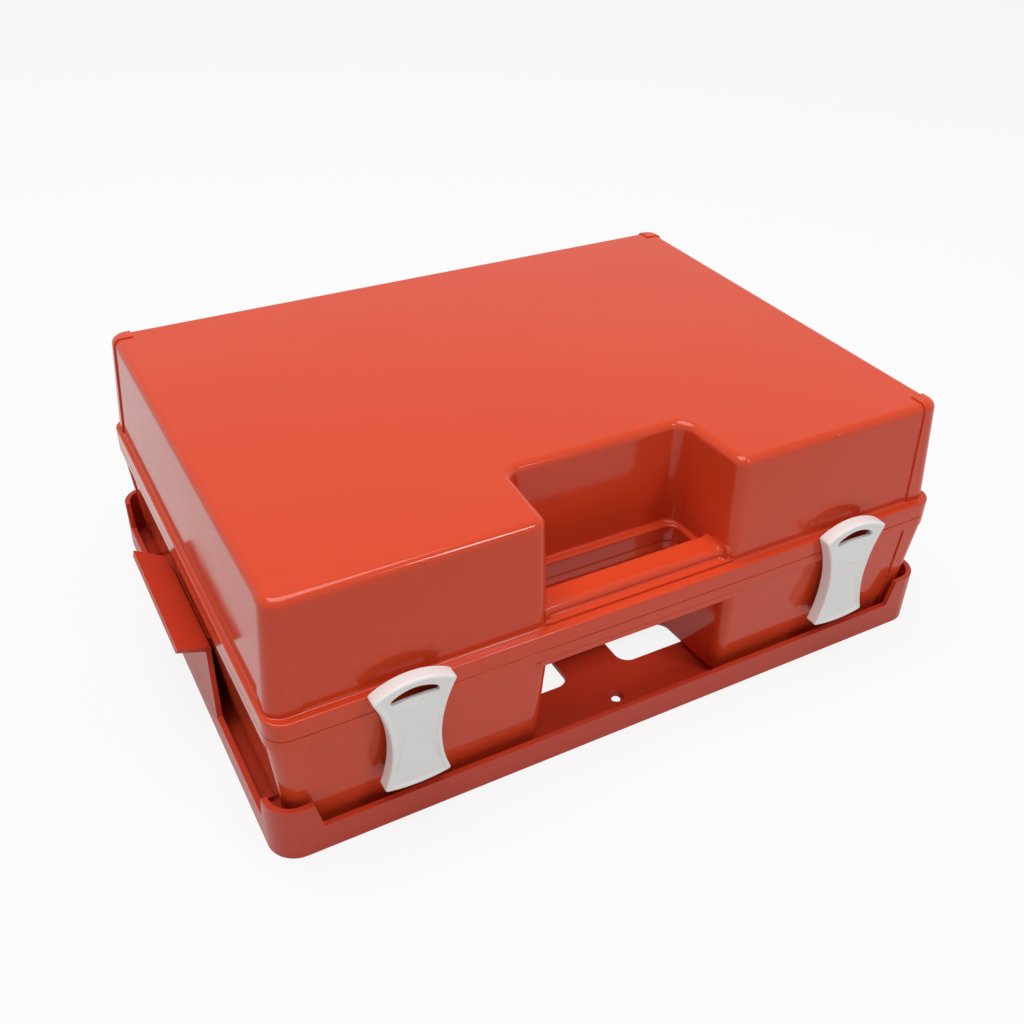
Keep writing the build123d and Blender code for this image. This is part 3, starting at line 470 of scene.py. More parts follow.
def rounded_outline(corners, radii, points=corner_points):
    """A closed outline in which each corner of a polygon is an arc that touches both its sides.

    The arc starts and ends at radius x tan(half the turn) from the corner. Every arc has as
    many points, so two outlines of one kind can be joined point to point.
    """
    corners = np.asarray(corners, float)
    before = corners - np.roll(corners, 1, axis=0)
    after = np.roll(corners, -1, axis=0) - corners
    before /= np.linalg.norm(before, axis=1, keepdims=True)
    after /= np.linalg.norm(after, axis=1, keepdims=True)
    cross = before[:, 0] * after[:, 1] - before[:, 1] * after[:, 0]
    turn = np.arctan2(cross, (before * after).sum(axis=1))
    radii = np.maximum(np.broadcast_to(radii, len(corners)), sharpest_r)
    start = corners - before * (radii * np.tan(np.abs(turn) / 2))[:, None]
    inward = np.stack([-before[:, 1], before[:, 0]], axis=1) * np.sign(turn)[:, None]
    centre = start + inward * radii[:, None]
    arm = -inward * radii[:, None]
    angle = turn[:, None] * np.linspace(0, 1, points)
    x = centre[:, :1] + arm[:, :1] * np.cos(angle) - arm[:, 1:] * np.sin(angle)
    y = centre[:, 1:] + arm[:, :1] * np.sin(angle) + arm[:, 1:] * np.cos(angle)
    return np.stack([x, y], axis=-1).reshape(-1, 2)


def rectangle_outline(half_x, half_y, radius, centre=(0, 0)):
    """A rounded rectangle, counter-clockwise from its lower left corner."""
    x = np.array([-half_x, half_x, half_x, -half_x]) + centre[0]
    y = np.array([-half_y, -half_y, half_y, half_y]) + centre[1]
    return rounded_outline(np.stack([x, y], axis=1), radius)


def lay(outline, level, axis="z"):
    """Puts a flat outline at one level along an axis, as points in millimetres.

    The outline's two values and the axis follow each other in the order X, Y, Z, X.
    """
    u, v = outline[:, 0], outline[:, 1]
    w = np.full(len(outline), float(level))
    order = {"z": (u, v, w), "x": (w, u, v), "y": (v, w, u)}
    return np.stack(order[axis], axis=1)


print("a rounded rectangle has", len(rectangle_outline(2, 1, 0.5)), "points")

# %% [markdown]
# ## From outlines to closed solids
# A stack of outlines is a grid: one parameter runs round the outline, the other runs from
# level to level. Faces between the levels are whole arrays of point numbers, made by rolling
# the grid by one. Both ends are shut, or a ring's last level is joined to its first, so no
# shape has an open edge.

# %% Stacks of outlines
def stacked(rows, ring=False):
    """Joins rows of points with four-sided faces, and shuts both ends with a flat face.

    Where ring is true, the last row is joined to the first instead, as in a picture frame.
    Faces point outwards when the rows rise and each row runs counter-clockwise. The result
    is the points, the four-sided faces and the end faces, as three arrays.
    """
    rows = np.asarray(rows, float)
    index = np.arange(rows.shape[0] * rows.shape[1]).reshape(rows.shape[:2])
    low = index if ring else index[:-1]
    high = np.roll(index, -1, axis=0) if ring else index[1:]
    quads = np.stack([low, np.roll(low, -1, axis=1), np.roll(high, -1, axis=1), high], axis=-1)
    ends = index[:0] if ring else np.stack([index[0, ::-1], index[-1]])
    return rows.reshape(-1, 3), quads.reshape(-1, 4), ends


def inside_out(shape):
    """The same shape with every face turned round, for rows that run downwards."""
    points, quads, ends = shape
    return points, quads[:, ::-1], ends[:, ::-1]


def prism(outline, low, high, axis="z"):
    """One outline carried straight along an axis."""
    return stacked([lay(outline, low, axis), lay(outline, high, axis)])


def block(x, y, z):
    """A block between three (low, high) pairs. The bevel of the finished piece rounds it."""
    corners = np.array([(x[0], y[0]), (x[1], y[0]), (x[1], y[1]), (x[0], y[1])], float)
    return prism(corners, z[0], z[1])


def circle_outline(radius, centre=(0, 0), points=32):
    """A circle as a closed outline, counter-clockwise."""
    angle = np.linspace(0, 2 * np.pi, points, endpoint=False)
    return np.array(centre) + radius * np.stack([np.cos(angle), np.sin(angle)], axis=1)


print("a block has", len(block((0, 1), (0, 1), (0, 1))[1]), "sides between its two ends")

# %% [markdown]
# ## Eyes and quarter turns
# A hinge pin needs a real bore to turn in, so a knuckle is a ring: a small circle, a large
# one, the large one again at the far end and the small one again. An edge is rounded by a
# quarter turn, so its sine and cosine are kept in one function.

# %% Eyes, forms round a pin and quarter turns
def eye(x, y, z, radius, bore):
    """A round eye along X, with a bore for a pin."""
    sections = ((bore, x[0]), (radius, x[0]), (radius, x[1]), (bore, x[1]))
    return stacked([lay(circle_outline(size, (y, z)), place, "x") for size, place in sections], ring=True)


def around_pin(x, corners):
    """A straight form along X from a polygon in Y and Z that goes round a pin."""
    return prism(np.array(corners, float), x[0], x[1], "x")


def quarter(points=7):
    """The sine and one minus the cosine of a quarter turn, which round an edge."""
    angle = np.linspace(0, np.pi / 2, points)
    return list(zip(np.sin(angle), 1 - np.cos(angle)))


print("an eye has", len(eye((0, 1), 0, 0, 2, 1)[1]), "faces")

# %% [markdown]
# ## One mesh from many shapes
# A moulding is one piece with walls, ribs and knuckles that grow out of each other. Joining
# them with booleans is slow and leaves thin faces. Here every shape is closed and sinks into its
# neighbour, and all go into one mesh, so the join is hidden inside the plastic.

# %% A finished piece
def make_piece(name, shapes, material, body, replaced, edge=0.35):
    """One piece from several closed shapes, given in millimetres, with its last edges softened."""
    points = np.concatenate([shape[0] for shape in shapes]) * MM
    starts = np.cumsum([0] + [len(shape[0]) for shape in shapes[:-1]])
    faces = [part + start for start, shape in zip(starts, shapes) for part in shape[1:]]
    corners = np.concatenate([part.ravel() for part in faces])
    sizes = np.concatenate([np.full(len(part), part.shape[1]) for part in faces])
    mesh = bpy.data.meshes.new(name)
    mesh.vertices.add(len(points))
    mesh.vertices.foreach_set("co", points.ravel())
    mesh.loops.add(len(corners))
    mesh.loops.foreach_set("vertex_index", corners)
    mesh.polygons.add(len(sizes))
    mesh.polygons.foreach_set("loop_start", np.cumsum(sizes) - sizes)
    mesh.update(calc_edges=True)
    mesh.materials.append(material)
    piece = bpy.data.objects.new(name, mesh)
    bpy.context.scene.collection.objects.link(piece)
    finish_surface(piece, edge * MM)
    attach(piece, body)
    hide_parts(replaced)
    print(name, len(points), "points", len(sizes), "faces")


# %% [markdown]
# ## The outline of the case
# Both shells have one plan: a rounded rectangle with a pocket cut into its front for the
# carrying hand. The pocket widens towards the front, where the hand goes in, and a little
# away from the closing flange, so that the tool that moulds it comes out. The walls taper for
# the same reason. An inset moves the whole outline into the material, which gives the inner
# face of a wall and the rounding of an edge.

# %% The plan of the two shells, in millimetres
half_length = 200.0
half_width = 149.0
flange_corner_r = 11.0
body_corner_r = 8.0
mouth_r = 7.0
pocket_half = 51.5
pocket_flare = 3.0
pocket_depth = 53.5
pocket_corner_r = 8.0
pocket_back = pocket_depth - half_width
wall = 3.0
inner_r = 2.0
# How far a shape reaches into its neighbour, so that the join is hidden in the plastic
hidden = 1.5
lap = 2.8

seat_low = 76.35
seat_high = 76.65
ledge_z = 86.5
band_z = 70.0
lid_top = 148.0
case_bottom = 4.0
pad_proud = 0.8
pad_size = 11.0

# A body's lower level with its half sizes there, then its upper level with its half sizes there
lid_levels = (ledge_z, (197.0, 143.5), lid_top, (192.5, 140.5))
base_levels = (case_bottom, (192.5, 142.5), band_z, (198.25, 147.25))
overrun = 1.0
# A pocket's lower level with its growth there, then its upper level with its growth there
lid_pocket_taper = (ledge_z - overrun, 0.0, lid_top + overrun, 1.6)
base_pocket_taper = (case_bottom - overrun, 3.0, seat_low, 0.0)


def half_size(levels, z):
    """The half length and half width of a tapered body at a level, in a straight line between two."""
    share = (z - levels[0]) / (levels[2] - levels[0])
    return tuple(low + (high - low) * share for low, high in zip(levels[1], levels[3]))


def flange_root(levels, z_low):
    """A body's half sizes where its flange grows out: the lid's lowest level or the base's highest."""
    return half_size(levels, levels[0] if z_low > band_z else levels[2])


def pocket_growth(taper, z):
    """How far a pocket's walls have moved outwards at a level."""
    return taper[1] + (taper[3] - taper[1]) * (z - taper[0]) / (taper[2] - taper[0])


def case_row(levels, taper, z, inset=0.0):
    """The plan of a shell with its front pocket, at a level, moved into the material by an inset."""
    half_x, half_y = (half - inset for half in half_size(levels, z))
    back_half = pocket_half + pocket_growth(taper, z) + inset
    back_y = pocket_back + pocket_growth(taper, z) + inset
    front_half = back_half + pocket_flare * (back_y + half_y) / pocket_depth
    corners = [
        (front_half, -half_y), (half_x, -half_y), (half_x, half_y), (-half_x, half_y),
        (-half_x, -half_y), (-front_half, -half_y), (-back_half, back_y), (back_half, back_y),
    ]
    outer_r = body_corner_r - inset
    radii = [mouth_r - inset] + [outer_r] * 4 + [mouth_r - inset] + [pocket_corner_r + inset] * 2
    return lay(rounded_outline(corners, radii), z)


print("lid at its ledge", half_size(lid_levels, ledge_z), "and at its top", half_size(lid_levels, lid_top))

# %% [markdown]
# ## The lid
# The lid is one moulding. Its shell runs from the ceiling down the inner wall, across the
# rim and up the outer wall to the top, so it is closed and has a real wall thickness. A
# Solidify modifier could give the wall too, but not an inner corner with its own radius.
# The flange that closes on the base is a frame around the shell.

# %% The shell and flange of the lid
lid_edge_r = 4.5
foot_r = 1.6
# The least overlap, which keeps two faces from lying in one plane
sunk = 0.05


def lid_shell_shape():
    """The lid's body: the ceiling, the inner wall, the rim, the outer wall and the top."""
    ceiling = lid_top - wall
    steps = [(ceiling - inner_r * drop, wall + inner_r * (1 - sine)) for sine, drop in quarter()]
    steps += [(seat_high + sunk, wall), (seat_high + sunk, hidden / 3)]
    steps += [(ledge_z - sunk + foot_r * rise, foot_r * (sine - 1)) for sine, rise in quarter()]
    steps += [(lid_top - lid_edge_r * (1 - sine), lid_edge_r * move) for sine, move in quarter(9)]
    return stacked([case_row(lid_levels, lid_pocket_taper, level, inset) for level, inset in steps])


def frame_shape(levels, z_low, z_high, low_r, high_r):
    """A flange as a picture frame around a shell, with its outer edges rounded."""
    inner_half = [half - lap for half in flange_root(levels, z_low)]
    inner = rectangle_outline(*inner_half, body_corner_r - lap)

    def outer(inset):
        return rectangle_outline(half_length - inset, half_width - inset, flange_corner_r - inset)

    rows = [lay(inner, z_low)]
    rows += [lay(outer(low_r * (1 - sine)), z_low + low_r * rise) for sine, rise in quarter(5)]
    rows += [lay(outer(high_r * move), z_high - high_r + high_r * sine) for sine, move in quarter(5)]
    rows.append(lay(inner, z_high))
    return stacked(rows, ring=True)


print("the lid's shell has", len(lid_shell_shape()[0]), "points")

# %% [markdown]
# ## The handle
# The hand goes into the pocket and the fingers through a slot in its floor, behind a bar. The
# floor is a frame around the slot. The bar is a rounded profile along X that widens in a flare
# where it meets the pocket's sides, because a moulder rounds such inner corners for strength.

# %% The pocket floor and the handle bar
slot_half = 50.0
slot_front = -122.0
slot_back = -100.0
slot_r = 7.0
slot_lip_r = 1.4


def pocket_floor_shape(levels, z_low, z_high, growth, lip_low):
    """The floor between the pocket's walls, with the finger slot cut out and its lip rounded."""
    front_y = lap - flange_root(levels, z_low)[1]
    back_half = pocket_half + growth + lap
    back_y = pocket_back + growth + lap
    front_half = back_half + pocket_flare * (back_y - front_y) / pocket_depth
    outer = rounded_outline(
        [(-front_half, front_y), (front_half, front_y), (back_half, back_y), (-back_half, back_y)],
        [sharpest_r, sharpest_r, pocket_corner_r + lap, pocket_corner_r + lap],
    )

    def slot(grow):
        centre = (0, (slot_front + slot_back) / 2)
        half_y = (slot_back - slot_front) / 2
        return rectangle_outline(slot_half + grow, half_y + grow, slot_r + grow, centre)

    rows = [lay(outer, z_low), lay(outer, z_high)]
    rows += [lay(slot(slot_lip_r * (1 - sine)), z_high - slot_lip_r * drop) for sine, drop in quarter(5)]
    if lip_low:
        rows += [lay(slot(lip_low * move), z_low + lip_low * (1 - sine)) for sine, move in quarter(5)]
    else:
        rows.append(lay(slot(0), z_low))
    return stacked(rows, ring=True)


grip_front = -139.0
grip_top = 93.0
grip_back_r = 4.0
grip_front_r = 3.4
grip_foot_r = 1.5
grip_flare_r = 3.0
sill_z = 88.0
sill_front = -143.5
sill_edge_r = 0.5
grip_wall_x = 53.8
grip_end_x = 56.4


def grip_bar_shape():
    """The lid's handle bar along X, which widens in a round flare where it meets the pocket's sides.

    At a distance d from the side wall the flare stands out by r - sqrt(r^2 - (r - d)^2).
    """
    distance = grip_flare_r * (1 - np.cos(np.linspace(0, np.pi / 2, 8)))
    swell = grip_flare_r - np.sqrt(np.maximum(grip_flare_r**2 - (grip_flare_r - distance) ** 2, 0))
    left = distance - grip_wall_x
    places = np.concatenate([[-grip_end_x], left, -left[::-1], [grip_end_x]])
    swells = np.concatenate([swell[:1], swell, swell[::-1], swell[:1]])
    bottom = seat_high + sunk
    radii = [sharpest_r, sharpest_r, grip_back_r, grip_front_r, grip_foot_r, sill_edge_r]
    rows = []
    for place, grow in zip(places, swells):
        corners = [
            (sill_front, bottom), (slot_front, bottom), (slot_front, grip_top + grow),
            (grip_front - grow, grip_top + grow), (grip_front - grow, sill_z), (sill_front, sill_z),
        ]
        rows.append(lay(rounded_outline(corners, radii), place, "x"))
    return stacked(rows)


def mouth_bar_shape(front_y, side_x, mouth_x, z):
    """A bar across the pocket whose ends widen to fill the rounding of the pocket's mouth."""
    neck_y = front_y + mouth_r
    corners = [(-mouth_x, front_y), (mouth_x, front_y), (side_x, neck_y), (side_x, slot_front),
               (-side_x, slot_front), (-side_x, neck_y)]
    return prism(rounded_outline(corners, sharpest_r), z[0], z[1])


print("the handle bar has", len(grip_bar_shape()[0]), "points")

# %% [markdown]
# ## The corner pads
# Each corner of the case has a thin raised pad that takes the knocks and the wear. It follows
# the wall, the rounded edge and the flat face, so it is one strip of outlines that moves inwards
# round the edge. Its inner side lies as deep in the plastic as its outer side stands out.

# %% The corner pads
def pad_row(levels, side_x, side_y, z, proud, inset, limit):
    """The path of a corner pad at one level: a straight stretch, the round corner and a straight stretch."""
    half_x, half_y = (half + proud - inset for half in half_size(levels, z))
    half_x = max(half_x, limit[0] + sharpest_r)
    half_y = max(half_y, limit[1] + sharpest_r)
    radius = max(body_corner_r + proud - inset, sharpest_r)
    radius = min(radius, half_x - limit[0], half_y - limit[1])
    angle = np.linspace(-np.pi / 2, 0, corner_points)
    x = np.concatenate([[limit[0]], half_x - radius + radius * np.cos(angle), [half_x]])
    y = np.concatenate([[-half_y], -half_y + radius + radius * np.sin(angle), [-limit[1]]])
    if side_x * side_y > 0:
        x, y = x[::-1], y[::-1]
    return np.stack([side_x * x, -side_y * y, np.full(len(x), float(z))], axis=1)


def pad_shape(levels, side_x, side_y, start_z, end_z, edge_r):
    """A corner pad: a thin plate that follows the wall, the rounded edge and the corner of the flat face."""
    up = 1 if end_z > start_z else -1
    flat_half = half_size(levels, end_z)
    limit = (flat_half[0] - pad_size, flat_half[1] - pad_size)
    front_z = end_z + up * pad_proud
    back_z = end_z - up * pad_proud
    steps = [(0.0, start_z, start_z)]
    for sine, move in quarter(7):
        lift = edge_r * (sine - 1)
        steps.append((edge_r * move, front_z + up * lift, back_z + up * lift))
    for inset in np.linspace(edge_r, pad_size + pad_proud, 4)[1:]:
        steps.append((inset, front_z, back_z))
    rows = []
    for inset, front, back in steps:
        outer = pad_row(levels, side_x, side_y, front, pad_proud, inset, limit)
        inner = pad_row(levels, side_x, side_y, back, -pad_proud, inset, limit)
        rows.append(np.concatenate([outer, inner[::-1]]))
    shape = stacked(rows)
    return inside_out(shape) if up < 0 else shape


# %% [markdown]
# ## Hinges, stops and rails
# These small forms grow out of the shells. The knuckles of the two halves take turns along
# each hinge pin. The stops meet when the lid is upright, and the rails hold the dividers.

# %% The small forms
hinge_x = 115.0
hinge_y = 153.2
hinge_z = 76.5
hinge_length = 62.0
knuckle_count = 5
knuckle_gap = 0.4
knuckle_r = 3.8
hinge_bore_r = 1.55
seat_gap = 0.15
stop_width = 12.0
divider_x = 66.0
divider_thickness = 2.0
divider_gap = 0.2
divider_top_gap = 1.5
rail_width = 2.0
rail_depth = 3.0


def knuckles(first, side):
    """Every second knuckle of both hinges, each with the leaf that joins it to its flange.

    The side is 1 for the lid's leaves, which lie above the pin, and -1 for the base's below it.
    """
    shapes = []
    pitch = hinge_length / knuckle_count
    for centre in (-hinge_x, hinge_x):
        for number in range(first, knuckle_count, 2):
            start = centre - hinge_length / 2 + number * pitch + knuckle_gap / 2
            span = (start, start + pitch - knuckle_gap)
            shapes.append(eye(span, hinge_y, hinge_z, knuckle_r, hinge_bore_r))
            root = half_width - wall
            near = hinge_z + side * seat_gap
            over = hinge_z + side * (hinge_bore_r + knuckle_r) / 2
            far = hinge_z + side * knuckle_r
            corners = [(root, near), (hinge_y - hinge_bore_r, near), (hinge_y - hinge_bore_r, over),
                       (hinge_y, over), (hinge_y, far), (root, far)]
            shapes.append(around_pin(span, corners[::side]))
    return shapes


def stops(z):
    """One stop block beyond each hinge."""
    inner = hinge_x + hinge_length / 2 + knuckle_gap
    y = (half_width - wall, hinge_y + knuckle_r)
    return [block((-inner - stop_width, -inner), y, z), block((inner, inner + stop_width), y, z)]


def rails(levels, z_low, z_high):
    """The rib pairs on the front and back walls, which lean with the walls."""
    offset = divider_thickness / 2 + divider_gap + rail_width / 2
    shapes = []
    for middle in (-divider_x, divider_x):
        for x in (middle - offset, middle + offset):
            for side in (-1, 1):
                rows = []
                for z in (z_low, z_high):
                    face = half_size(levels, z)[1] - wall
                    low, high = sorted((side * (face - rail_depth), side * (face + wall / 2)))
                    centre = (x, (low + high) / 2)
                    rail = rectangle_outline(rail_width / 2, (high - low) / 2, sharpest_r, centre)
                    rows.append(lay(rail, z))
                shapes.append(stacked(rows))
    return shapes


print("knuckles", knuckle_count, "on each hinge,", hinge_length, "mm long")

# %% [markdown]
# ## The lid in one piece
# The last forms of the lid are inside it: two posts with webs, which take the screws of the
# turn catches, and two rests that the clear cover lies on. All shapes then become one mesh
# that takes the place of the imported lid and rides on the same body.

# %% Join the lid
flange_seat_r = 0.3
lid_flange_r = 1.2
cover_low = 79.1
cover_high = 81.1
catch_x = 120.0
catch_y = -131.5
catch_post_r = 4.5
post_low = 79.025
rest_x = 90.0
rest_half = 8.0
rest_depth = 5.0
web_low = 98.1
web_half = 1.4

lid_shapes = [
    lid_shell_shape(),
    frame_shape(lid_levels, seat_high, ledge_z, flange_seat_r, lid_flange_r),
    pocket_floor_shape(lid_levels, seat_high, ledge_z, 0.0, 0.0),
    grip_bar_shape(),
    mouth_bar_shape(
        sill_front + sunk, grip_end_x, grip_end_x + mouth_r / 2, (ledge_z - overrun, sill_z - sunk)
    ),
]
for side_x in (-1, 1):
    for side_y in (-1, 1):
        lid_shapes.append(pad_shape(lid_levels, side_x, side_y, ledge_z - overrun, lid_top, lid_edge_r))
lid_shapes += knuckles(1, 1)
lid_shapes += stops((hinge_z + 2 * seat_gap, hinge_z + knuckle_r))
lid_shapes += rails(lid_levels, cover_high, lid_top - wall / 2)
lid_inner_y = half_size(lid_levels, ledge_z)[1] - wall
for side in (-1, 1):
    post = circle_outline(catch_post_r, (side * catch_x, catch_y))
    lid_shapes.append(prism(post, post_low, lid_top - wall / 2))
    web_x = (side * catch_x - web_half, side * catch_x + web_half)
    lid_shapes.append(block(web_x, (-lid_inner_y, catch_y), (web_low, lid_top - wall / 2)))
    rest = (side * rest_x - rest_half, side * rest_x + rest_half)
    rest_y = (lid_inner_y - rest_depth, lid_inner_y + wall / 2)
    lid_shapes.append(block(rest, rest_y, (seat_high, cover_low)))

make_piece("lid_moulding", lid_shapes, case_plastic, "lid", "lid_shell")

# %% [markdown]
# ## The base
# The base is made the same way, upside down: its shell runs from the floor up the inner wall,
# across the rim and down the outer wall to the bottom. Its rows run downwards at the end, so
# the whole shape is turned inside out.

# %% The shell of the base
base_edge_r = 5.5
band_edge_r = 0.6
band_foot_r = 1.0


def base_shell_shape():
    """The base's body: the floor, the inner wall, the rim, the outer wall and the bottom."""
    floor_level = case_bottom + wall
    steps = [(floor_level + inner_r * rise, wall + inner_r * (1 - sine)) for sine, rise in quarter()]
    steps += [(seat_low - sunk, wall), (seat_low - sunk, hidden), (band_z + sunk, hidden / 3)]
    steps += [(band_z + sunk - band_foot_r * fall, band_foot_r * (sine - 1)) for sine, fall in quarter(5)]
    steps += [(case_bottom + base_edge_r * (1 - sine), base_edge_r * move) for sine, move in quarter(9)]
    rows = [case_row(base_levels, base_pocket_taper, level, inset) for level, inset in steps]
    return inside_out(stacked(rows))


print("the base's shell has", len(base_shell_shape()[0]), "points")

# %% [markdown]
# ## Ears and lugs
# Each latch turns on a pin in two ears of the base. Each ear is an eye with a gusset behind
# it, which carries the pull of the closed latch into the wall. On each short side a long lug
# with a slanted lower edge lets the spring clip slide over it and snap in.

# %% Ears for the latches and lugs for the clips
latch_x = 132.5
ear_centre = 6.5
ear_half = 2.5
latch_pivot_y = -151.0
latch_pivot_z = 30.3
latch_lug_r = 2.6
latch_bore_r = 1.3
ear_gusset = 4.0
lug_top = 46.0
lug_low = 41.0
lug_half = 30.0
lug_tip = 197.66
lug_lead_in = 1.2


def latch_ears():
    """The ears on the front wall, each a round end with a gusset behind it."""
    wall_y = wall / 2 - half_size(base_levels, latch_pivot_z)[1]
    over = latch_pivot_z + (latch_bore_r + latch_lug_r) / 2
    gusset = [
        (latch_pivot_y + latch_bore_r, latch_pivot_z - latch_lug_r / 2),
        (wall_y, latch_pivot_z - latch_lug_r / 2),
        (wall_y, latch_pivot_z + latch_lug_r + ear_gusset),
        (latch_pivot_y, latch_pivot_z + latch_lug_r),
        (latch_pivot_y, over),
        (latch_pivot_y + latch_bore_r, over),
    ]
    shapes = []
    for centre in (-latch_x - ear_centre, -latch_x + ear_centre, latch_x - ear_centre, latch_x + ear_centre):
        span = (centre - ear_half, centre + ear_half)
        shapes.append(eye(span, latch_pivot_y, latch_pivot_z, latch_lug_r, latch_bore_r))
        shapes.append(around_pin(span, gusset))
    return shapes


def clip_lug(side):
    """The long lug on a short side, with a slanted lead-in under its edge."""
    root = half_size(base_levels, lug_low)[0] - wall / 2
    outline = np.array([
        (lug_low, root), (lug_top, root), (lug_top, lug_tip),
        (lug_low + lug_lead_in, lug_tip), (lug_low, lug_tip - lug_lead_in),
    ])
    corners = outline * (1, side)
    return prism(corners if side > 0 else corners[::-1], -lug_half, lug_half, "y")


print("a lug stands out to x =", clip_lug(1)[0][:, 0].max(), "mm")

# %% [markdown]
# ## The base in one piece
# The flange, the floor of the recess and the bar under the handle are made by the functions
# that made them for the lid. The bar's ends widen to fill the rounded corners of the recess.
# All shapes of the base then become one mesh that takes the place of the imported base.

# %% Join the base
base_grip_drop = 3.5
base_bar_front = -148.9
recess_growth = 0.3
base_shapes = [
    base_shell_shape(),
    frame_shape(base_levels, band_z, seat_low, band_edge_r, flange_seat_r),
    pocket_floor_shape(base_levels, band_z, seat_low, recess_growth, slot_lip_r),
    mouth_bar_shape(
        base_bar_front, grip_end_x, grip_end_x + mouth_r - overrun, (band_z - base_grip_drop, band_z + sunk)
    ),
    clip_lug(-1),
    clip_lug(1),
]
for side_x in (-1, 1):
    for side_y in (-1, 1):
        base_shapes.append(
            pad_shape(base_levels, side_x, side_y, band_z + overrun, case_bottom, base_edge_r)
        )
base_shapes += knuckles(0, -1)
base_shapes += stops((band_z, hinge_z - knuckle_r - sunk))
base_shapes += rails(base_levels, case_bottom + wall / 2, seat_low - divider_top_gap)
base_shapes += latch_ears()
make_piece("base_moulding", base_shapes, case_plastic, "base", "base_shell")

# %% [markdown]
# ## Circles and arcs
# A latch is a waisted plate of white plastic whose edge is all arcs. An arc is easiest to set
# by three of its points, which can be seen in the photo, so a helper finds the circle through
# them. Others find where two circles cross, put points on the stretch between two crossings
# and soften the corners.

# %% Circles and arcs
def circle_of(start, middle, end):
    """The centre and radius of the circle through three points.

    The centre c is as far from each, so 2 (p - start) . c = p . p - start . start for both others p.
    """
    start, middle, end = (np.array(point, float) for point in (start, middle, end))
    sides = 2 * np.array([middle - start, end - start])
    squares = np.array([middle @ middle - start @ start, end @ end - start @ start])
    centre = np.linalg.solve(sides, squares)
    return centre, np.linalg.norm(start - centre)


def crossing(first, second, near):
    """Where two circles cross, taking the crossing that is nearer to a point.

    It lies (d^2 + r_1^2 - r_2^2) / 2d along the line of the centres, which are d apart, and as far
    across it as the right-angled triangle with r_1 for its long side says.
    """
    (centre_1, r_1), (centre_2, r_2) = first, second
    line = centre_2 - centre_1
    distance = np.linalg.norm(line)
    line /= distance
    along = (distance**2 + r_1**2 - r_2**2) / (2 * distance)
    across = math.sqrt(max(r_1**2 - along**2, 0))
    normal = np.array([-line[1], line[0]])
    points = [centre_1 + along * line + side * across * normal for side in (-1, 1)]
    return min(points, key=lambda point: np.linalg.norm(point - near))


def arc_between(circle, start, end, points):
    """Points on a circle from one of its points to another, the short way round."""
    centre, radius = circle
    arms = np.stack([start - centre, end - centre])
    angles = np.unwrap(np.arctan2(arms[:, 1], arms[:, 0]))
    angle = np.linspace(angles[0], angles[1], points, endpoint=False)
    return centre + radius * np.stack([np.cos(angle), np.sin(angle)], axis=1)


def softened(outline, reach):
    """Rounds the corners of a closed outline by an average along its points.

    A point n places away has the weight exp(-(n / reach)^2). The sums are done for all points
    at once, as a product of Fourier series.
    """
    count = len(outline)
    offset = np.minimum(np.arange(count), count - np.arange(count))
    bell = np.exp(-((offset / reach) ** 2))
    spectrum = np.fft.fft(bell / bell.sum())
    return np.stack([np.fft.ifft(np.fft.fft(outline[:, i]) * spectrum).real for i in (0, 1)], axis=1)


print("the circle through (-1, 0), (0, 1) and (1, 0) has radius", circle_of((-1, 0), (0, 1), (1, 0))[1])

# %% [markdown]
# ## The outline of a latch
# The outline is four arcs: a cap, a foot and two hollow sides. An outline that is moved inwards
# point by point folds over at its corners, which shows as dark streaks in the gloss. So each
# arc keeps its centre and changes its radius, and the corners are worked out again as the
# places where the new circles cross.

# %% The outline of a latch
latch_points = 360
latch_softness = 2.2
latch_top = 94.9
latch_cap_rise = 6.7
latch_top_half = 21.3
latch_waist = (13.5, 64.0)
latch_foot = (17.5, 29.5)
latch_foot_low = 27.4
foot_share = 0.19
side_share = 0.31


def latch_outline(inset=0.0):
    """The waisted outline in X and Z, counter-clockwise seen from the front, moved in by an inset.

    Moving an arc in keeps its centre and changes its radius, so the corners are worked out
    again as the places where the moved arcs cross, and no part of the outline folds over.
    """
    corner = np.array([latch_top_half, latch_top - latch_cap_rise])
    foot = np.array(latch_foot)
    waist = np.array(latch_waist)
    mirror = np.array([-1, 1])
    cap_centre, cap_r = circle_of(corner * mirror, (0, latch_top), corner)
    foot_centre, foot_arc_r = circle_of(foot * mirror, (0, latch_foot_low), foot)
    side_centre, side_r = circle_of(foot, waist, corner)
    cap = (cap_centre, cap_r - inset)
    base = (foot_centre, foot_arc_r - inset)
    right = (side_centre, side_r + inset)
    left = (side_centre * mirror, side_r + inset)
    top_right = crossing(cap, right, corner)
    foot_right = crossing(base, right, foot)
    counts = [round(latch_points * share) for share in (foot_share, side_share, foot_share, side_share)]
    counts[0] += latch_points - sum(counts)
    stretches = [
        arc_between(base, foot_right * mirror, foot_right, counts[0]),
        arc_between(right, foot_right, top_right, counts[1]),
        arc_between(cap, top_right, top_right * mirror, counts[2]),
        arc_between(left, top_right * mirror, foot_right * mirror, counts[3]),
    ]
    return softened(np.concatenate(stretches), latch_softness)


print("latch outline", latch_outline().min(axis=0).round(2), latch_outline().max(axis=0).round(2))

# %% [markdown]
# ## The slot of a latch
# A crescent slot under the cap gives a fingertip something to pull at. It could be cut with a
# boolean, but the plate is a grid whose rows run from the rim to the slot, so the slot's edge
# needs one point for each point of the outline. Rays from the slot's middle towards the
# outline give those points.

# %% The outline of the slot
slot_centre = np.array([0.0, 87.0])
slot_half_x = 12.3
slot_low_end = 82.8
slot_high_end = 86.0
slot_low = 84.0
slot_high = 90.0
slot_detail = 4
slot_end_share = 12
rim_width = 2.4


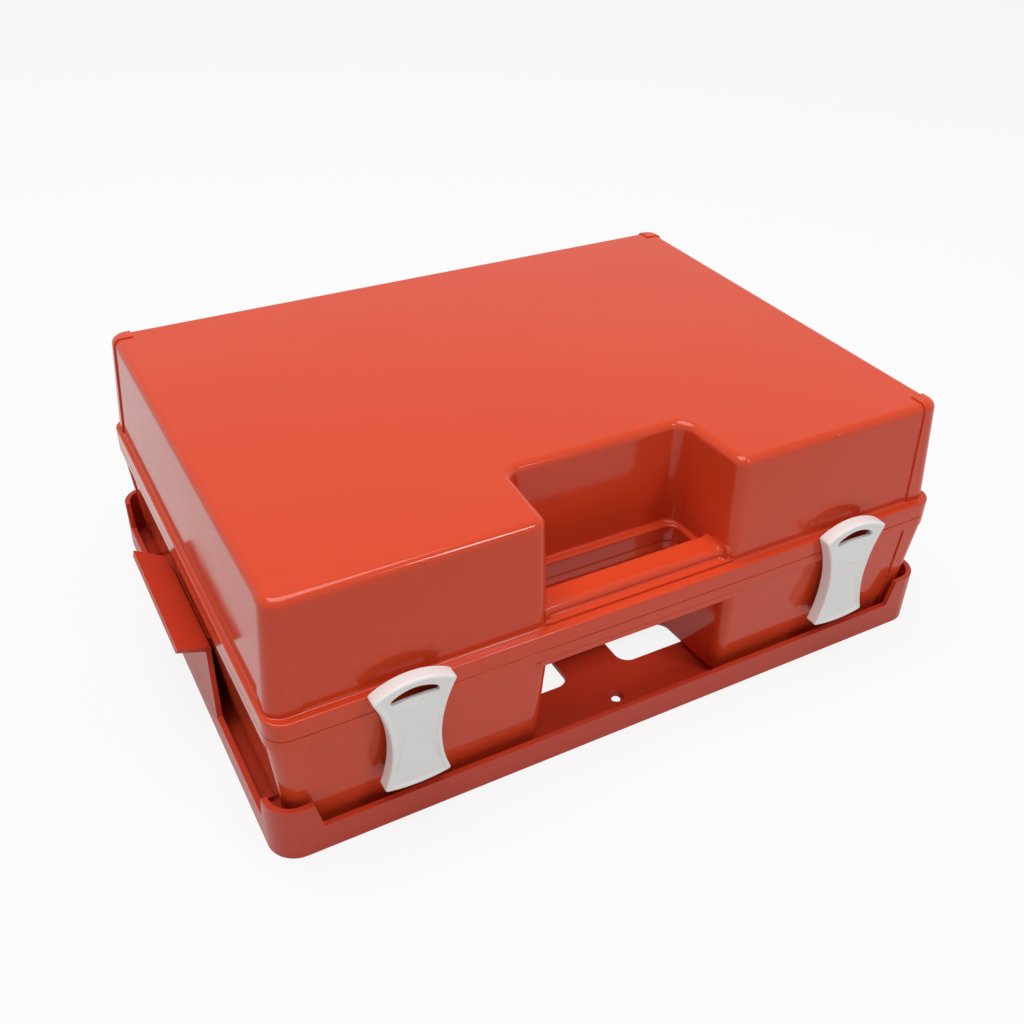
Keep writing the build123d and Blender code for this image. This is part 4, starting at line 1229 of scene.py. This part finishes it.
def slot_outline():
    """The crescent slot, as the points where rays to the latch's outline cross its edge."""
    low = circle_of((-slot_half_x, slot_low_end), (0, slot_low), (slot_half_x, slot_low_end))
    high = circle_of((-slot_half_x, slot_high_end), (0, slot_high), (slot_half_x, slot_high_end))
    many = slot_detail * latch_points
    corners = np.array([
        (-slot_half_x, slot_low_end), (slot_half_x, slot_low_end),
        (slot_half_x, slot_high_end), (-slot_half_x, slot_high_end),
    ])
    end_points = many // slot_end_share
    rise = np.linspace(0, 1, end_points, endpoint=False)[:, None]
    edge = np.concatenate([
        arc_between(low, corners[0], corners[1], many // 2),
        corners[1] + (corners[2] - corners[1]) * rise,
        arc_between(high, corners[2], corners[3], many // 2),
        corners[3] + (corners[0] - corners[3]) * rise,
    ])
    edge = softened(edge, end_points / 2)
    arm = edge - slot_centre
    angle = np.arctan2(arm[:, 1], arm[:, 0])
    order = np.argsort(angle)
    aims = latch_outline(rim_width) - slot_centre
    aim = np.arctan2(aims[:, 1], aims[:, 0])
    reach = np.interp(aim, angle[order], np.linalg.norm(arm, axis=1)[order], period=2 * np.pi)
    return slot_centre + reach[:, None] * aims / np.linalg.norm(aims, axis=1, keepdims=True)


print("slot", slot_outline().min(axis=0).round(2), slot_outline().max(axis=0).round(2))

# %% [markdown]
# ## The plate of a latch
# The face is sunk a little inside a soft rim, and below the slot a low arc and a low ring help
# the thumb. The whole plate is one closed surface: rows of points run from the rim over the
# face to the slot, through the slot to the back, and along the back and the side wall to the
# start. The face has many rows, because the marks are only as sharp as the rows are close.

# %% The body of a latch
latch_front = -157.0
latch_plate = 3.0
latch_back = latch_front + latch_plate
latch_rim_back = -149.8
latch_edge_r = 1.2
latch_side_wall = 2.0
rim_slope = 1.6
rim_flat = rim_width - rim_slope / 2
face_sink = 0.8
thumb_arc = (0.0, 58.0, 20.5, 8.0)
thumb_ring = (0.0, 61.5, 7.4, 7.4)
thumb_rise = 0.32
thumb_width = 0.9
thumb_side_fade = 1.5
thumb_low_fade = 2.0
rim_rows = 8
face_rows = 110
back_rows = 12
slot_lip = 0.6
foot_gap_half = 13.4
foot_gap_top = 33.7


def thumb_marks(outline):
    """How far the low arc and ring stand out: thumb_rise x exp(-(distance / thumb_width)^2), faded."""
    rise = np.zeros(len(outline))
    for x, z, radius, reach in (thumb_arc, thumb_ring):
        arm = outline - (x, z)
        distance = np.linalg.norm(arm, axis=1) - radius
        fade = np.clip(thumb_side_fade * (1 - np.abs(arm[:, 0]) / reach), 0, 1)
        fade *= np.clip(thumb_low_fade * arm[:, 1] / radius, 0, 1)
        rise += thumb_rise * fade * np.exp(-((distance / thumb_width) ** 2))
    return rise


def latch_body_shape():
    """The plate, its soft rim, its side wall and its back as one closed surface.

    The side wall is left out at the foot, so that the latch can turn past the base's ears.
    """
    slot = slot_outline()

    def row(flat, y):
        depth = np.broadcast_to(y, len(flat))
        return np.stack([flat[:, 0], depth, flat[:, 1]], axis=1)

    def wall_end(flat):
        at_foot = (np.abs(flat[:, 0]) < foot_gap_half) & (flat[:, 1] < foot_gap_top)
        return np.where(at_foot, latch_back, latch_rim_back)

    rows = [row(latch_outline(), wall_end(latch_outline()))]
    for sine, move in quarter(6):
        rows.append(row(latch_outline(latch_edge_r * move), latch_front + latch_edge_r * (1 - sine)))
    for share in np.linspace(0, 1, rim_rows):
        slope = (1 - math.cos(math.pi * share)) / 2
        rows.append(row(latch_outline(rim_flat + rim_slope * share), latch_front + face_sink * slope))
    face_start = latch_outline(rim_flat + rim_slope)
    outward = (slot - slot_centre) / np.linalg.norm(slot - slot_centre, axis=1, keepdims=True)
    slot_edge = slot + slot_lip * outward
    for share in np.linspace(0, 1, face_rows)[1:]:
        flat = face_start + (slot_edge - face_start) * share
        rows.append(row(flat, latch_front + face_sink - thumb_marks(flat)))
    for sine, move in quarter(5)[1:]:
        rows.append(row(slot_edge + (slot - slot_edge) * sine, latch_front + face_sink + slot_lip * move))
    rows.append(row(slot, latch_back))
    inner = latch_outline(latch_side_wall)
    for share in np.linspace(0, 1, back_rows)[1:]:
        rows.append(row(slot + (inner - slot) * share, latch_back))
    rows.append(row(inner, wall_end(inner)))
    return stacked(rows, ring=True)


print("a latch plate has", len(latch_body_shape()[0]), "points")

# %% [markdown]
# ## Both latches
# Behind the plate are three lugs with bores for the pin, and under the cap a hook that snaps
# over the lid's flange. Both latches are the same moulding, so the shapes are made once about
# x = 0 and carried to each side. Carrying, and not mirroring, keeps every face pointing outwards.

# %% Both latches, each with its lugs and hook
hook_half = 12.0
hook_z = 86.8
hook_back = -146.6
hook_height = 2.0
web_drop = 2.8
side_lug_x = 10.9
side_lug_half = 1.5
middle_lug_half = 3.6


def latch_shapes():
    """Everything that is moulded with a latch, about x = 0."""
    shapes = [latch_body_shape()]
    for centre, half in ((0, middle_lug_half), (-side_lug_x, side_lug_half), (side_lug_x, side_lug_half)):
        span = (centre - half, centre + half)
        shapes.append(eye(span, latch_pivot_y, latch_pivot_z, latch_lug_r, latch_bore_r))
        root = latch_back - latch_plate / 2
        near = latch_pivot_y - latch_bore_r
        low = latch_pivot_z - latch_bore_r
        over = latch_pivot_z + (latch_bore_r + latch_lug_r) / 2
        high = latch_pivot_z + latch_lug_r
        corners = [
            (root, low), (near, low), (near, over),
            (latch_pivot_y, over), (latch_pivot_y, high), (root, high),
        ]
        shapes.append(around_pin(span, corners))
    hook_x = (-hook_half, hook_half)
    web_y = latch_rim_back - latch_side_wall
    shapes.append(block(hook_x, (web_y, latch_rim_back), (hook_z, latch_top - web_drop)))
    shapes.append(block(hook_x, (web_y, hook_back), (hook_z, hook_z + hook_height)))
    return shapes


one_latch = latch_shapes()
for side, word in ((-1, "left"), (1, "right")):
    shapes = [(points + (side * latch_x, 0, 0), *faces) for points, *faces in one_latch]
    name = f"latch_{word}"
    make_piece(f"{name}_moulding", shapes, latch_plastic, name, name, edge=0.25)
